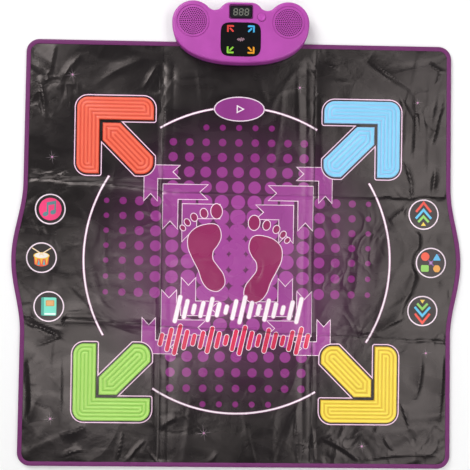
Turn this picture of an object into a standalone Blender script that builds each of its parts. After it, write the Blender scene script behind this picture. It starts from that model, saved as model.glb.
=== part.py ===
"""Electronic dance mat with a console, modelled piece by piece.

Metres, +Z up. +Y runs from the mat's free edge to the console and +X to the right.
The origin lies on the floor under the middle of the whole object. The mat is a stack
of five layers in three columns, which fold along two lines, and the four arrow pads,
seven switch discs, the console's button and its battery door move.
"""

import math

import bmesh
import bpy
from mathutils import Matrix, Vector

# Fits
LAYER_GAP = 0.0003
SLIDE_FIT = 0.0004
CUT_MARGIN = 0.002
WELD_DISTANCE = 0.000001
SMOOTH_ANGLE = 35.0

# Mat outline
MAT_LENGTH = 0.850
MAT_TOP_WIDTH = 0.852
MAT_BOTTOM_WIDTH = 0.866
SIDE_BULGE = 0.0205
BULGE_REACH = 0.150
MAT_CORNER_RADIUS = 0.026
CORNER_STEPS = 4
BULGE_STEPS = 8

# Mat layers, from the floor up
BASE_THICKNESS = 0.0008
FILM_THICKNESS = 0.0004
FOAM_THICKNESS = 0.0042
COVER_THICKNESS = 0.0008
BASE_TOP = BASE_THICKNESS
LOWER_FILM_LOW = BASE_TOP + LAYER_GAP
LOWER_FILM_TOP = LOWER_FILM_LOW + FILM_THICKNESS
FOAM_LOW = LOWER_FILM_TOP + LAYER_GAP
FOAM_TOP = FOAM_LOW + FOAM_THICKNESS
UPPER_FILM_LOW = FOAM_TOP + LAYER_GAP
UPPER_FILM_TOP = UPPER_FILM_LOW + FILM_THICKNESS
COVER_LOW = UPPER_FILM_TOP + LAYER_GAP
COVER_TOP = COVER_LOW + COVER_THICKNESS

# Edge binding
BINDING_WIDTH = 0.0065
BINDING_WALL = 0.0025
BINDING_LIP = 0.0007
BINDING_ROLL = 0.0016
BINDING_TOP = COVER_TOP + LAYER_GAP + BINDING_LIP
LAYER_INSET = BINDING_WALL + LAYER_GAP

# Fold lines between the columns
FOLD_X = 0.152
FOLD_GAP = 0.0006
FOLD_CLEARANCE = 0.0014

# Arrow pads
ARROW_X = 0.247
FREE_ARROW_MARGIN = 0.0915
REAR_ARROW_MARGIN = 0.1135
ARROW_SIZE = 0.153
ARM_WIDTH = 0.045
ELBOW_RADIUS = 0.0215
ARM_END_RADIUS = 0.0215
STEM_GAP = 0.0065
STEM_LEG = 0.035
STEM_TIP_RADIUS = 0.023
PAD_RISE = 0.0040
PAD_EDGE_ROLL = 0.0016
PAD_EDGE_DROP = 0.0012
PAD_CROWN = 0.0006
CHANNEL_PITCH = 0.0075
CHANNEL_WIDTH = 0.0026
CHANNEL_DEPTH = 0.0012
CHANNEL_END = 0.0005
ARROW_TRAVEL = 0.0030
ARROW_ARC_STEPS = 4
WINDOW_MARGIN = 0.0012
PAD_TOP = COVER_TOP + PAD_RISE
PAD_BOTTOM = LOWER_FILM_TOP + ARROW_TRAVEL + LAYER_GAP

# Switch discs
DISC_RADIUS = 0.031
DISC_MARGIN = 0.0555
MIDDLE_DISC_MARGIN = 0.060
DISC_PITCH = 0.097
DISC_TRAVEL = 0.0012
DISC_SIDES = 24
WINDOW_SIDES = 12
START_WIDTH = 0.103
START_DEPTH = 0.051
START_MARGIN = 0.133
DISC_BOTTOM = LOWER_FILM_TOP + DISC_TRAVEL + LAYER_GAP

# Console outline, in metres from the middle of the mat's top edge
SPEAKER_X = 0.094
SPEAKER_Y = 0.034
LOBE_RADIUS = 0.0415
VALLEY_X = 0.052
VALLEY_DEPTH = 0.0157
HUMP_FLAT = 0.020
HUMP_Y = 0.0733
CONSOLE_FRONT = 0.0465
FRONT_SHARPNESS = 2.4
FRONT_STEPS = 18
LOBE_STEPS = 8
VALLEY_STEPS = 4
HUMP_STEPS = 3

# Console heights and walls
CONSOLE_TOP = 0.036
REAR_FLOOR = 0.002
SHELL_SPLIT = 0.0145
SHELL_WALL = 0.0022
FLOOR_THICKNESS = 0.0024
TOP_FILLET = 0.005
FILLET_STEPS = 3
FRONT_FLOOR = BINDING_TOP + LAYER_GAP
STEP_Y = LAYER_GAP * 2
TOP_UNDERSIDE = CONSOLE_TOP - SHELL_WALL
TOP_SHELL_LOW = SHELL_SPLIT + LAYER_GAP / 2
BOTTOM_SHELL_HIGH = SHELL_SPLIT - LAYER_GAP / 2

# Battery bay and its sliding door
CELL_DIAMETER = 0.0145
CELL_LENGTH = 0.0505
CELL_NUB_RADIUS = 0.0027
CELL_NUB = 0.0010
CELL_COUNT = 3
CONTACT_ROOM = 0.0018
BAY_WALL = 0.0014
BAY_Y = 0.0410
DOOR_THICKNESS = 0.0019
DOOR_OVERLAP = 0.0022
DOOR_FLANGE = 0.0016
DOOR_FLANGE_THICKNESS = 0.0007
DOOR_REAR_GAP = 0.0006
DOOR_GRIP_WIDTH = 0.024
DOOR_GRIP_DEPTH = 0.0006
DOOR_TOP = REAR_FLOOR + DOOR_THICKNESS
CELL_LOW = DOOR_TOP + LAYER_GAP
BAY_CEILING = CELL_LOW + CELL_DIAMETER + LAYER_GAP
BAY_TOP = BAY_CEILING + BAY_WALL
BAY_HALF_WIDTH = (CELL_COUNT * CELL_DIAMETER + (CELL_COUNT + 1) * SLIDE_FIT) / 2
BAY_HALF_LENGTH = CELL_LENGTH / 2 + CONTACT_ROOM

# Board and what it carries
BOARD_THICKNESS = 0.0016
BOARD_HALF_WIDTH = 0.045
BOARD_FRONT = 0.036
BOARD_SHOULDER = 0.050
BOARD_NECK_HALF_WIDTH = 0.0245
BOARD_REAR = 0.0665
BOARD_LOW = BAY_TOP + LAYER_GAP
BOARD_TOP = BOARD_LOW + BOARD_THICKNESS

# Display and lit panel
DISPLAY_Y = 0.0536
DISPLAY_WIDTH = 0.0475
DISPLAY_DEPTH = 0.029
DISPLAY_SHARPNESS = 9.0
DISPLAY_STEPS = 6
MODULE_MARGIN = 0.0018
PANEL_Y = -0.001
PANEL_WIDTH = 0.079
PANEL_DEPTH = 0.067
PANEL_SHARPNESS = 5.0
PANEL_STEPS = 8
WINDOW_THICKNESS = 0.0013
WINDOW_LEDGE = 0.0022
WINDOW_PROUD = 0.0001
LENS_SIZE = 0.0145
LENS_X = 0.0205
LENS_Y = 0.0210

# Round button and its switch
BUTTON_X = 0.0406
BUTTON_Y = 0.0434
BUTTON_RADIUS = 0.0079
BUTTON_PROUD = 0.0022
BUTTON_FLANGE = 0.0014
BUTTON_FLANGE_THICKNESS = 0.0014
BUTTON_STEM_RADIUS = 0.0025
BUTTON_TRAVEL = 0.0015
BUTTON_ROUND = 0.0010
SWITCH_SIZE = 0.006
SWITCH_HEIGHT = 0.0035
SWITCH_PLUNGER_RADIUS = 0.0017
SWITCH_PLUNGER = 0.0011

# Speakers and grilles
SPEAKER_RADIUS = 0.027
SPEAKER_DEPTH = 0.0165
MAGNET_RADIUS = 0.016
SPEAKER_SIDES = 20
GRILLE_HOLE_RADIUS = 0.0017
GRILLE_PITCH = 0.0085
GRILLE_RINGS = 2
GRILLE_HOLE_SIDES = 6
GRILLE_GROOVE_RADIUS = 0.0315
GRILLE_GROOVE_WIDTH = 0.0014
GRILLE_GROOVE_DEPTH = 0.0007
GROOVE_SIDES = 20
BUTTON_SIDES = 18

# Screws, feet and the printed tail
SCREW_RADIUS = 0.0015
SCREW_HEAD_RADIUS = 0.0030
SCREW_HEAD_HEIGHT = 0.0013
SCREW_TOP = 0.026
SCREW_SIDES = 12
BOSS_RADIUS = 0.0040
BOSS_SIDES = 12
REAR_SCREW_X = 0.1165
REAR_SCREW_Y = 0.0585
FRONT_SCREW_X = 0.099
FRONT_SCREW_Y = -0.014
FRONT_HEAD_LOW = 0.0002
REAR_HEAD_RECESS = 0.0012
FOOT_RADIUS = 0.009
FOOT_X = 0.078
FOOT_Y = 0.012
FOOT_SIDES = 20
TAIL_WIDTH = 0.024
TAIL_THICKNESS = 0.0005
TAIL_Y = -0.026
TAIL_REACH = 0.016
TAIL_BOARD_RUN = 0.008
TAIL_LOW = FOAM_LOW + FOAM_THICKNESS / 2

# Places that follow from the sizes above
CONSOLE_REAR = SPEAKER_Y + LOBE_RADIUS
WHOLE_LENGTH = MAT_LENGTH + CONSOLE_REAR
MAT_BOTTOM = -WHOLE_LENGTH / 2
MAT_TOP = MAT_BOTTOM + MAT_LENGTH
FREE_ARROW_EDGE = MAT_BOTTOM + FREE_ARROW_MARGIN
REAR_ARROW_EDGE = MAT_TOP - REAR_ARROW_MARGIN
PRINT_Y = (FREE_ARROW_EDGE + REAR_ARROW_EDGE) / 2
START_Y = MAT_TOP - START_MARGIN
MEAN_HALF_WIDTH = (MAT_TOP_WIDTH + MAT_BOTTOM_WIDTH) / 4
DISC_X = MEAN_HALF_WIDTH - DISC_MARGIN
MIDDLE_DISC_X = MEAN_HALF_WIDTH + SIDE_BULGE - MIDDLE_DISC_MARGIN
FOLD_RISE_FREE = (PAD_TOP + COVER_TOP + FOLD_CLEARANCE) / 2
FOLD_RISE_CONSOLE = (CONSOLE_TOP + BINDING_TOP + FOLD_CLEARANCE) / 2
FOLD_STAGGER = (PAD_TOP + FOLD_CLEARANCE) / 2

QUARTERS = {
    "red": (-1, 1),
    "blue": (1, 1),
    "green": (-1, -1),
    "yellow": (1, -1),
}
LENS_NAMES = {"red": "red", "blue": "blue", "green": "green", "yellow": "orange"}

FINISHES = {
    "black_vinyl": ((0.035, 0.033, 0.036), 0.42, 0.0),
    "base_fabric": ((0.030, 0.030, 0.032), 0.85, 0.0),
    "foam": ((0.75, 0.74, 0.70), 0.9, 0.0),
    "film": ((0.62, 0.66, 0.68), 0.35, 0.0),
    "binding": ((0.20, 0.04, 0.22), 0.6, 0.0),
    "red": ((0.90, 0.12, 0.06), 0.45, 0.0),
    "blue": ((0.22, 0.62, 0.92), 0.45, 0.0),
    "green": ((0.38, 0.74, 0.18), 0.45, 0.0),
    "yellow": ((0.94, 0.72, 0.10), 0.45, 0.0),
    "orange": ((0.95, 0.40, 0.05), 0.3, 0.0),
    "disc": ((0.06, 0.04, 0.07), 0.42, 0.0),
    "start": ((0.36, 0.07, 0.38), 0.42, 0.0),
    "console_purple": ((0.52, 0.12, 0.50), 0.35, 0.0),
    "console_base": ((0.20, 0.02, 0.22), 0.45, 0.0),
    "smoked_window": ((0.010, 0.010, 0.012), 0.08, 0.0),
    "digits": ((0.30, 0.31, 0.30), 0.5, 0.0),
    "board": ((0.03, 0.22, 0.09), 0.5, 0.0),
    "speaker": ((0.05, 0.05, 0.05), 0.6, 0.2),
    "cell": ((0.62, 0.60, 0.55), 0.35, 0.8),
    "rubber": ((0.02, 0.02, 0.02), 0.9, 0.0),
    "steel": ((0.55, 0.55, 0.56), 0.35, 1.0),
}


def clear_scene():
    for obj in list(bpy.data.objects):
        bpy.data.objects.remove(obj, do_unlink=True)


def new_collection(name):
    collection = bpy.data.collections.new(name)
    bpy.context.scene.collection.children.link(collection)
    return collection


def finish(name):
    """The material of one finish, made once."""
    material = bpy.data.materials.get(name)
    if material is None:
        colour, roughness, metallic = FINISHES[name]
        material = bpy.data.materials.new(name)
        material.use_nodes = True
        shader = material.node_tree.nodes["Principled BSDF"]
        shader.inputs["Base Color"].default_value = (*colour, 1.0)
        shader.inputs["Roughness"].default_value = roughness
        shader.inputs["Metallic"].default_value = metallic
    return material


def new_part(name, mesh, finish_name):
    """A piece of the mat in the parts collection, with its mesh in world places."""
    obj = bpy.data.objects.new(name, mesh)
    mesh.materials.clear()
    mesh.materials.append(finish(finish_name))
    PARTS.objects.link(obj)
    return obj


def new_cutter(mesh):
    """A guide that cuts or joins a part and isn't part of the object."""
    obj = bpy.data.objects.new("guide", mesh)
    obj.hide_render = True
    obj.display_type = 'WIRE'
    GUIDES.objects.link(obj)
    return obj


def solid(shape_name, build):
    """A mesh filled by a function that works on a bmesh."""
    mesh = bpy.data.meshes.new(shape_name)
    bm = bmesh.new()
    build(bm)
    bm.to_mesh(mesh)
    bm.free()
    return mesh


def curve_mesh(curve):
    """A curve as a welded mesh with whole caps."""
    guide = bpy.data.objects.new("outline", curve)
    bpy.context.scene.collection.objects.link(guide)
    depsgraph = bpy.context.evaluated_depsgraph_get()
    mesh = bpy.data.meshes.new_from_object(guide.evaluated_get(depsgraph))
    bpy.data.objects.remove(guide, do_unlink=True)
    bm = bmesh.new()
    bm.from_mesh(mesh)
    bmesh.ops.remove_doubles(bm, verts=bm.verts, dist=WELD_DISTANCE)
    bmesh.ops.dissolve_limit(bm, angle_limit=math.radians(0.05), verts=bm.verts, edges=bm.edges)
    bmesh.ops.recalc_face_normals(bm, faces=bm.faces)
    bm.to_mesh(mesh)
    bm.free()
    return mesh


def plate(loops, low, high):
    """A flat sheet cut to the first loop, with the other loops as holes."""
    curve = bpy.data.curves.new("plate", 'CURVE')
    curve.dimensions = '2D'
    curve.fill_mode = 'BOTH'
    curve.extrude = (high - low) / 2
    for loop in loops:
        spline = curve.splines.new('POLY')
        spline.points.add(len(loop) - 1)
        for point, (x, y) in zip(spline.points, loop):
            point.co = (x, y, 0.0, 1.0)
        spline.use_cyclic_u = True
    mesh = curve_mesh(curve)
    mesh.transform(Matrix.Translation((0.0, 0.0, (low + high) / 2)))
    return mesh


def block(low, high):
    """A box between two corners."""
    size = Vector(high) - Vector(low)
    middle = (Vector(high) + Vector(low)) / 2

    def build(bm):
        matrix = Matrix.Translation(middle) @ Matrix.Diagonal((*size, 1.0))
        bmesh.ops.create_cube(bm, size=1.0, matrix=matrix)

    return solid("block", build)


def rod(x, y, low, high, radius, sides):
    """An upright cylinder."""

    def build(bm):
        matrix = Matrix.Translation((x, y, (low + high) / 2))
        bmesh.ops.create_cone(bm, cap_ends=True, segments=sides, radius1=radius,
                              radius2=radius, depth=high - low, matrix=matrix)

    return solid("rod", build)


def turned(profile, x, y, sides):
    """A closed profile of (radius, height) turned round an upright axis, top first."""
    count = len(profile)
    mesh = bpy.data.meshes.new("turned")
    edges = [(index, index + 1) for index in range(count - 1)]
    if profile[0][0] > 0.0:
        edges.append((count - 1, 0))
    mesh.from_pydata([(radius, 0.0, height) for radius, height in profile], edges, [])
    guide = bpy.data.objects.new("turned", mesh)
    bpy.context.scene.collection.objects.link(guide)
    screw = guide.modifiers.new("turn", 'SCREW')
    screw.axis = 'Z'
    screw.steps = sides
    screw.render_steps = sides
    screw.use_merge_vertices = True
    screw.merge_threshold = WELD_DISTANCE
    depsgraph = bpy.context.evaluated_depsgraph_get()
    result = bpy.data.meshes.new_from_object(guide.evaluated_get(depsgraph))
    bpy.data.objects.remove(guide, do_unlink=True)
    bm = bmesh.new()
    bm.from_mesh(result)
    bmesh.ops.remove_doubles(bm, verts=bm.verts, dist=WELD_DISTANCE)
    bmesh.ops.recalc_face_normals(bm, faces=bm.faces)
    bm.to_mesh(result)
    bm.free()
    result.transform(Matrix.Translation((x, y, 0.0)))
    return result


def joined(meshes):
    """Several separate shapes as one mesh."""
    bm = bmesh.new()
    for mesh in meshes:
        bm.from_mesh(mesh)
    result = bpy.data.meshes.new("group")
    bm.to_mesh(result)
    bm.free()
    return result


def combine(obj, mesh, operation):
    """One Boolean step on a part: 'DIFFERENCE' or 'UNION'."""
    step = obj.modifiers.new(operation.lower(), 'BOOLEAN')
    step.operation = operation
    step.solver = 'EXACT'
    step.object = new_cutter(mesh)


def set_origin(obj, point):
    """Moves a part's origin to a point on its joint's axis, its shape unmoved."""
    obj.data.transform(Matrix.Translation(-Vector(point)))
    obj.location = point


def keep_place(obj, parent):
    """Parents a part without moving it."""
    obj.parent = parent
    obj.matrix_parent_inverse = parent.matrix_world.inverted()


def arc(x, y, radius, start, end, steps):
    """Points on a round corner, from one angle in degrees to another."""
    angles = [math.radians(start + (end - start) * step / steps) for step in range(steps + 1)]
    return [(x + radius * math.cos(angle), y + radius * math.sin(angle)) for angle in angles]


def circle(x, y, radius, sides):
    return arc(x, y, radius, 0.0, 360.0, sides)[:-1]


def super_point(x, y, half_width, half_depth, sharpness, angle):
    """A point of a rounded box: sharpness 2 is an ellipse, and more is squarer."""
    power = 2.0 / sharpness
    across = math.cos(angle)
    along = math.sin(angle)
    return (x + math.copysign(half_width * abs(across) ** power, across),
            y + math.copysign(half_depth * abs(along) ** power, along))


def rounded_box(x, y, width, depth, sharpness, steps):
    """A box outline with round corners and slightly full sides."""
    count = steps * 4
    return [super_point(x, y, width / 2, depth / 2, sharpness, 2 * math.pi * step / count)
            for step in range(count)]


def mirrored(points):
    """Points mirrored across the middle plane, in reverse order."""
    return [(-x, y) for x, y in reversed(points)]


def side_x(y, inset=0.0):
    """Half the mat's width at a place along its length, with the bulge by the discs."""
    share = (y - MAT_BOTTOM) / MAT_LENGTH
    straight = (MAT_BOTTOM_WIDTH * (1.0 - share) + MAT_TOP_WIDTH * share) / 2
    reach = (y - PRINT_Y) / BULGE_REACH
    bulge = SIDE_BULGE * math.cos(reach * math.pi / 2) ** 2 if abs(reach) < 1.0 else 0.0
    return straight + bulge - inset


def edge_path(inset):
    """The mat's edge on the right, from fold line to fold line, as an open line."""
    inner = FOLD_X + FOLD_GAP / 2
    radius = MAT_CORNER_RADIUS
    low_x = side_x(MAT_BOTTOM + radius) - radius
    high_x = side_x(MAT_TOP - radius) - radius
    points = [(inner, MAT_BOTTOM + inset)]
    points += arc(low_x, MAT_BOTTOM + radius, radius - inset, -90.0, 0.0, CORNER_STEPS)
    for step in range(BULGE_STEPS + 1):
        y = PRINT_Y + BULGE_REACH * (2.0 * step / BULGE_STEPS - 1.0)
        points.append((side_x(y, inset), y))
    points += arc(high_x, MAT_TOP - radius, radius - inset, 0.0, 90.0, CORNER_STEPS)
    points.append((inner, MAT_TOP - inset))
    return points


def column_outline(column):
    """The outline of one layer in one column: left, centre or right."""
    if column == "centre":
        half = FOLD_X - FOLD_GAP / 2
        low = MAT_BOTTOM + LAYER_INSET
        high = MAT_TOP - LAYER_INSET
        return [(-half, low), (half, low), (half, high), (-half, high)]
    points = edge_path(LAYER_INSET)
    return points if column == "right" else mirrored(points)


def arrow_points(quarter, points):
    """Points counted inwards from an arrow's outer corner, turned to its quarter."""
    side, end = QUARTERS[quarter]
    corner_x = side * (ARROW_X + ARROW_SIZE / 2)
    corner_y = REAR_ARROW_EDGE if end > 0 else FREE_ARROW_EDGE
    return [(corner_x - side * u, corner_y - end * v) for u, v in points]


def chevron_outline(quarter, grow=0.0):
    """The L-shaped head of an arrow, grown outwards by a clearance."""
    far = ARROW_SIZE + grow
    near = ARM_WIDTH + grow
    end_centre = ARROW_SIZE - ARM_END_RADIUS
    end_radius = ARM_END_RADIUS + grow
    points = arc(ELBOW_RADIUS, ELBOW_RADIUS, ELBOW_RADIUS + grow, 180.0, 270.0, ARROW_ARC_STEPS)
    points += arc(end_centre, ARM_END_RADIUS, end_radius, 270.0, 360.0, ARROW_ARC_STEPS)
    points += [(far, near), (near, near), (near, far)]
    points += arc(ARM_END_RADIUS, end_centre, end_radius, 90.0, 180.0, ARROW_ARC_STEPS)
    return arrow_points(quarter, points)


def stem_outline(quarter, grow=0.0):
    """The diagonal stem of an arrow, with a sharp inner and a round outer corner."""
    low = ARM_WIDTH + STEM_GAP - grow
    high = ARROW_SIZE + grow
    leg = STEM_LEG + grow * math.sqrt(2.0)
    tip = ARROW_SIZE - STEM_TIP_RADIUS
    points = [(low, low), (low + leg, low), (high, high - leg)]
    points += arc(tip, tip, STEM_TIP_RADIUS + grow, 0.0, 90.0, ARROW_ARC_STEPS)
    points += [(high - leg, high), (low, low + leg)]
    return arrow_points(quarter, points)


def window_outline(quarter):
    """The square window under an arrow in the foam and the upper film."""
    low = -WINDOW_MARGIN
    high = ARROW_SIZE + WINDOW_MARGIN
    return arrow_points(quarter, [(low, low), (high, low), (high, high), (low, high)])


def disc_places():
    """The six round discs: name, column and place."""
    places = []
    for side_name, side in (("left", -1), ("right", 1)):
        for row_name, row in (("top", 1), ("middle", 0), ("bottom", -1)):
            reach = DISC_X if row else MIDDLE_DISC_X
            places.append((f"{side_name}_disc_{row_name}", side_name,
                           side * reach, PRINT_Y + row * DISC_PITCH))
    return places


def start_outline(grow=0.0):
    """The oval start disc."""
    count = DISC_SIDES
    half_width = START_WIDTH / 2 + grow
    half_depth = START_DEPTH / 2 + grow
    return [super_point(0.0, START_Y, half_width, half_depth, 2.0,
                        2 * math.pi * step / count) for step in range(count)]


def screw_places():
    """The console's four case screws: name, place, and whether it passes the mat."""
    places = []
    for side_name, side in (("left", -1), ("right", 1)):
        places.append((f"case_screw_rear_{side_name}", side * REAR_SCREW_X,
                       MAT_TOP + REAR_SCREW_Y, False))
        places.append((f"case_screw_front_{side_name}", side * FRONT_SCREW_X,
                       MAT_TOP + FRONT_SCREW_Y, True))
    return places


def tail_slot(front, rear):
    """A slot for the printed tail, from one place along Y to another."""
    half = TAIL_WIDTH / 2 + SLIDE_FIT
    return [(-half, front), (half, front), (half, rear), (-half, rear)]


def layer_holes(layer, column):
    """The holes that one layer has in one column."""
    holes = []
    open_layer = layer in ("foam", "upper_film", "cover")
    for quarter, (side, _) in QUARTERS.items():
        if not open_layer or column != ("left" if side < 0 else "right"):
            continue
        if layer == "cover":
            holes.append(chevron_outline(quarter, SLIDE_FIT))
            holes.append(stem_outline(quarter, SLIDE_FIT))
        else:
            holes.append(window_outline(quarter))
    window_radius = (DISC_RADIUS + WINDOW_MARGIN) / math.cos(math.pi / WINDOW_SIDES)
    for _, disc_column, x, y in disc_places():
        if open_layer and disc_column == column:
            if layer == "cover":
                holes.append(circle(x, y, DISC_RADIUS + SLIDE_FIT, DISC_SIDES))
            else:
                holes.append(circle(x, y, window_radius, WINDOW_SIDES))
    if column == "centre":
        if open_layer:
            holes.append(start_outline(SLIDE_FIT))
            rear = MAT_TOP + TAIL_Y + TAIL_THICKNESS + SLIDE_FIT
            reach = TAIL_REACH if layer == "foam" else 0.0
            holes.append(tail_slot(MAT_TOP + TAIL_Y - reach - SLIDE_FIT, rear))
        hole_radius = SCREW_RADIUS if open_layer else SCREW_HEAD_RADIUS
        holes += [circle(x, y, hole_radius + LAYER_GAP, SCREW_SIDES)
                  for _, x, y, through_mat in screw_places() if through_mat]
    return holes


def make_layers():
    """Five layers in three columns."""
    layers = (
        ("base", 0.0, BASE_TOP, "base_fabric"),
        ("lower_film", LOWER_FILM_LOW, LOWER_FILM_TOP, "film"),
        ("foam", FOAM_LOW, FOAM_TOP, "foam"),
        ("upper_film", UPPER_FILM_LOW, UPPER_FILM_TOP, "film"),
        ("cover", COVER_LOW, COVER_TOP, "black_vinyl"),
    )
    for layer, low, high, finish_name in layers:
        for column in ("left", "centre", "right"):
            loops = [column_outline(column)] + layer_holes(layer, column)
            part = new_part(f"{layer}_{column}", plate(loops, low, high), finish_name)
            attach(part, column)


def attach(part, column):
    """Hangs a piece of the mat on its column's fold."""
    if column != "centre":
        set_origin(part, FOLDS[column].location)
        keep_place(part, FOLDS[column])


def make_folds():
    """An empty on each fold axis, above the mat and rising towards the console."""
    run = MAT_LENGTH - CONSOLE_FRONT
    for column, side, stagger in (("left", -1, 0.0), ("right", 1, FOLD_STAGGER)):
        empty = bpy.data.objects.new(f"{column}_fold", None)
        rise = FOLD_RISE_CONSOLE - FOLD_RISE_FREE
        empty.location = (side * FOLD_X, MAT_BOTTOM, FOLD_RISE_FREE + stagger)
        empty.rotation_euler = (math.atan2(rise, run), 0.0, 0.0)
        PARTS.objects.link(empty)
        FOLDS[column] = empty
    bpy.context.view_layer.update()


def binding_section():
    """The binding tape's section as (inset, height), closed over the mat's edge."""
    return [
        (BINDING_ROLL / 2, 0.0),
        (0.0, BINDING_ROLL / 2),
        (0.0, BINDING_TOP - BINDING_ROLL),
        (BINDING_ROLL / 3, BINDING_TOP - BINDING_ROLL / 3),
        (BINDING_ROLL, BINDING_TOP),
        (BINDING_WIDTH - BINDING_LIP / 2, BINDING_TOP),
        (BINDING_WIDTH, BINDING_TOP - BINDING_LIP / 2),
        (BINDING_WIDTH, BINDING_TOP - BINDING_LIP),
        (BINDING_WALL, BINDING_TOP - BINDING_LIP),
        (BINDING_WALL, 0.0),
    ]


def make_binding(name, path, column):
    """Tape along an open line of the mat's edge, which has the mat on its left."""
    section = bpy.data.curves.new("section", 'CURVE')
    section.dimensions = '2D'
    spline = section.splines.new('POLY')
    points = binding_section()
    spline.points.add(len(points) - 1)
    for point, (inset, height) in zip(spline.points, points):
        point.co = (-inset, height, 0.0, 1.0)
    spline.use_cyclic_u = True
    section_guide = bpy.data.objects.new("section", section)
    bpy.context.scene.collection.objects.link(section_guide)
    curve = bpy.data.curves.new("binding", 'CURVE')
    curve.dimensions = '3D'
    curve.twist_mode = 'Z_UP'
    curve.bevel_mode = 'OBJECT'
    curve.bevel_object = section_guide
    curve.use_fill_caps = True
    line = curve.splines.new('POLY')
    line.points.add(len(path) - 1)
    for point, (x, y) in zip(line.points, path):
        point.co = (x, y, 0.0, 1.0)
    mesh = curve_mesh(curve)
    bpy.data.objects.remove(section_guide, do_unlink=True)
    attach(new_part(name, mesh, "binding"), column)


def make_bindings():
    right = edge_path(0.0)
    make_binding("binding_right", right, "right")
    make_binding("binding_left", mirrored(right), "left")
    half = FOLD_X - FOLD_GAP / 2
    make_binding("binding_bottom", [(-half, MAT_BOTTOM), (half, MAT_BOTTOM)], "centre")
    make_binding("binding_top", [(half, MAT_TOP), (-half, MAT_TOP)], "centre")


def channel_profile(half_width, reach):
    """Places inwards from a pad's edge and their heights under the pad's top."""
    places = [(PAD_EDGE_ROLL, 0.0)]
    centre = CHANNEL_PITCH
    while centre - CHANNEL_WIDTH / 2 < reach:
        places += [(centre - CHANNEL_WIDTH / 2, 0.0), (centre, -CHANNEL_DEPTH),
                   (centre + CHANNEL_WIDTH / 2, 0.0)]
        centre += CHANNEL_PITCH
    kept = [place for place in places if place[0] <= reach]
    crowned = []
    for inset, height in kept:
        share = inset / half_width
        crowned.append((inset, height - PAD_CROWN * (1.0 - math.sin(share * math.pi / 2))))
    return crowned


def pad_mesh(outline, half_width, reach):
    """A foam pad with a rolled edge, a crown and sewn channels along its outline."""
    shoulder = PAD_TOP - PAD_CROWN - PAD_EDGE_DROP
    mesh = plate([outline], PAD_BOTTOM, shoulder)
    bm = bmesh.new()
    bm.from_mesh(mesh)
    top = max(bm.faces, key=lambda face: face.normal.z * face.calc_area())
    last_inset = 0.0
    last_height = -PAD_CROWN - PAD_EDGE_DROP
    for inset, height in channel_profile(half_width, reach):
        bmesh.ops.inset_individual(bm, faces=[top], thickness=inset - last_inset,
                                   depth=height - last_height, use_even_offset=True)
        last_inset = inset
        last_height = height
    bm.to_mesh(mesh)
    bm.free()
    return mesh


def make_arrows():
    """Four arrows, each a chevron and a stem that are pressed together."""
    chevron_half = ARM_WIDTH / 2
    chevron_reach = min(chevron_half, ELBOW_RADIUS, ARM_END_RADIUS,
                        ARM_WIDTH - ARM_END_RADIUS) - CHANNEL_END
    stem_half = STEM_LEG / math.sqrt(2.0)
    stem_reach = min(stem_half, STEM_TIP_RADIUS,
                     (STEM_LEG - STEM_TIP_RADIUS) / (math.sqrt(2.0) - 1.0)) - CHANNEL_END
    for colour, (side, end) in QUARTERS.items():
        column = "left" if side < 0 else "right"
        press = bpy.data.objects.new(f"{colour}_press", None)
        edge = REAR_ARROW_EDGE if end > 0 else FREE_ARROW_EDGE
        press.location = (side * ARROW_X, edge - end * ARROW_SIZE / 2, PAD_BOTTOM)
        PARTS.objects.link(press)
        bpy.context.view_layer.update()
        keep_place(press, FOLDS[column])
        bpy.context.view_layer.update()
        chevron = pad_mesh(chevron_outline(colour), chevron_half, chevron_reach)
        stem = pad_mesh(stem_outline(colour), stem_half, stem_reach)
        for name, mesh in ((f"{colour}_chevron", chevron), (f"{colour}_stem", stem)):
            part = new_part(name, mesh, colour)
            set_origin(part, press.matrix_world.translation)
            keep_place(part, press)


def make_discs():
    """Six round switch discs and the oval start disc, level with the cover."""
    for name, column, x, y in disc_places():
        mesh = rod(x, y, DISC_BOTTOM, COVER_TOP, DISC_RADIUS, DISC_SIDES)
        part = new_part(name, mesh, "disc")
        set_origin(part, (x, y, DISC_BOTTOM))
        keep_place(part, FOLDS[column])
    start = new_part("start_disc", plate([start_outline()], DISC_BOTTOM, COVER_TOP), "start")
    set_origin(start, (0.0, START_Y, DISC_BOTTOM))


def console_outline(inset=0.0):
    """The console seen from above: two lobes, two valleys, a hump and a broad front."""
    valley_y = HUMP_Y - VALLEY_DEPTH
    rise = valley_y - SPEAKER_Y
    spread = SPEAKER_X - VALLEY_X
    valley_radius = (spread ** 2 + rise ** 2 - LOBE_RADIUS ** 2) / (2 * (LOBE_RADIUS - rise))
    valley_centre = valley_y + valley_radius
    above = valley_centre - HUMP_Y
    reach = VALLEY_X - HUMP_FLAT
    hump_radius = (reach ** 2 + above ** 2 - valley_radius ** 2) / (2 * (valley_radius - above))
    hump_centre = HUMP_Y - hump_radius
    lobe_turn = math.degrees(math.atan2(valley_centre - SPEAKER_Y, -spread))
    hump_turn = math.degrees(math.atan2(valley_centre - hump_centre, reach))
    right = arc(SPEAKER_X, SPEAKER_Y, LOBE_RADIUS - inset, 0.0, lobe_turn, LOBE_STEPS)
    right += arc(VALLEY_X, valley_centre, valley_radius + inset, lobe_turn - 180.0,
                 hump_turn - 180.0, VALLEY_STEPS)[1:-1]
    right += arc(HUMP_FLAT, hump_centre, hump_radius - inset, hump_turn, 90.0, HUMP_STEPS)
    half_width = SPEAKER_X + LOBE_RADIUS - inset
    half_depth = SPEAKER_Y + CONSOLE_FRONT - inset
    front = [super_point(0.0, SPEAKER_Y, half_width, half_depth, FRONT_SHARPNESS,
                         math.pi * (1.0 + step / FRONT_STEPS)) for step in range(1, FRONT_STEPS)]
    local = right + mirrored(right) + front
    return [(x, MAT_TOP + y) for x, y in local]


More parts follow.
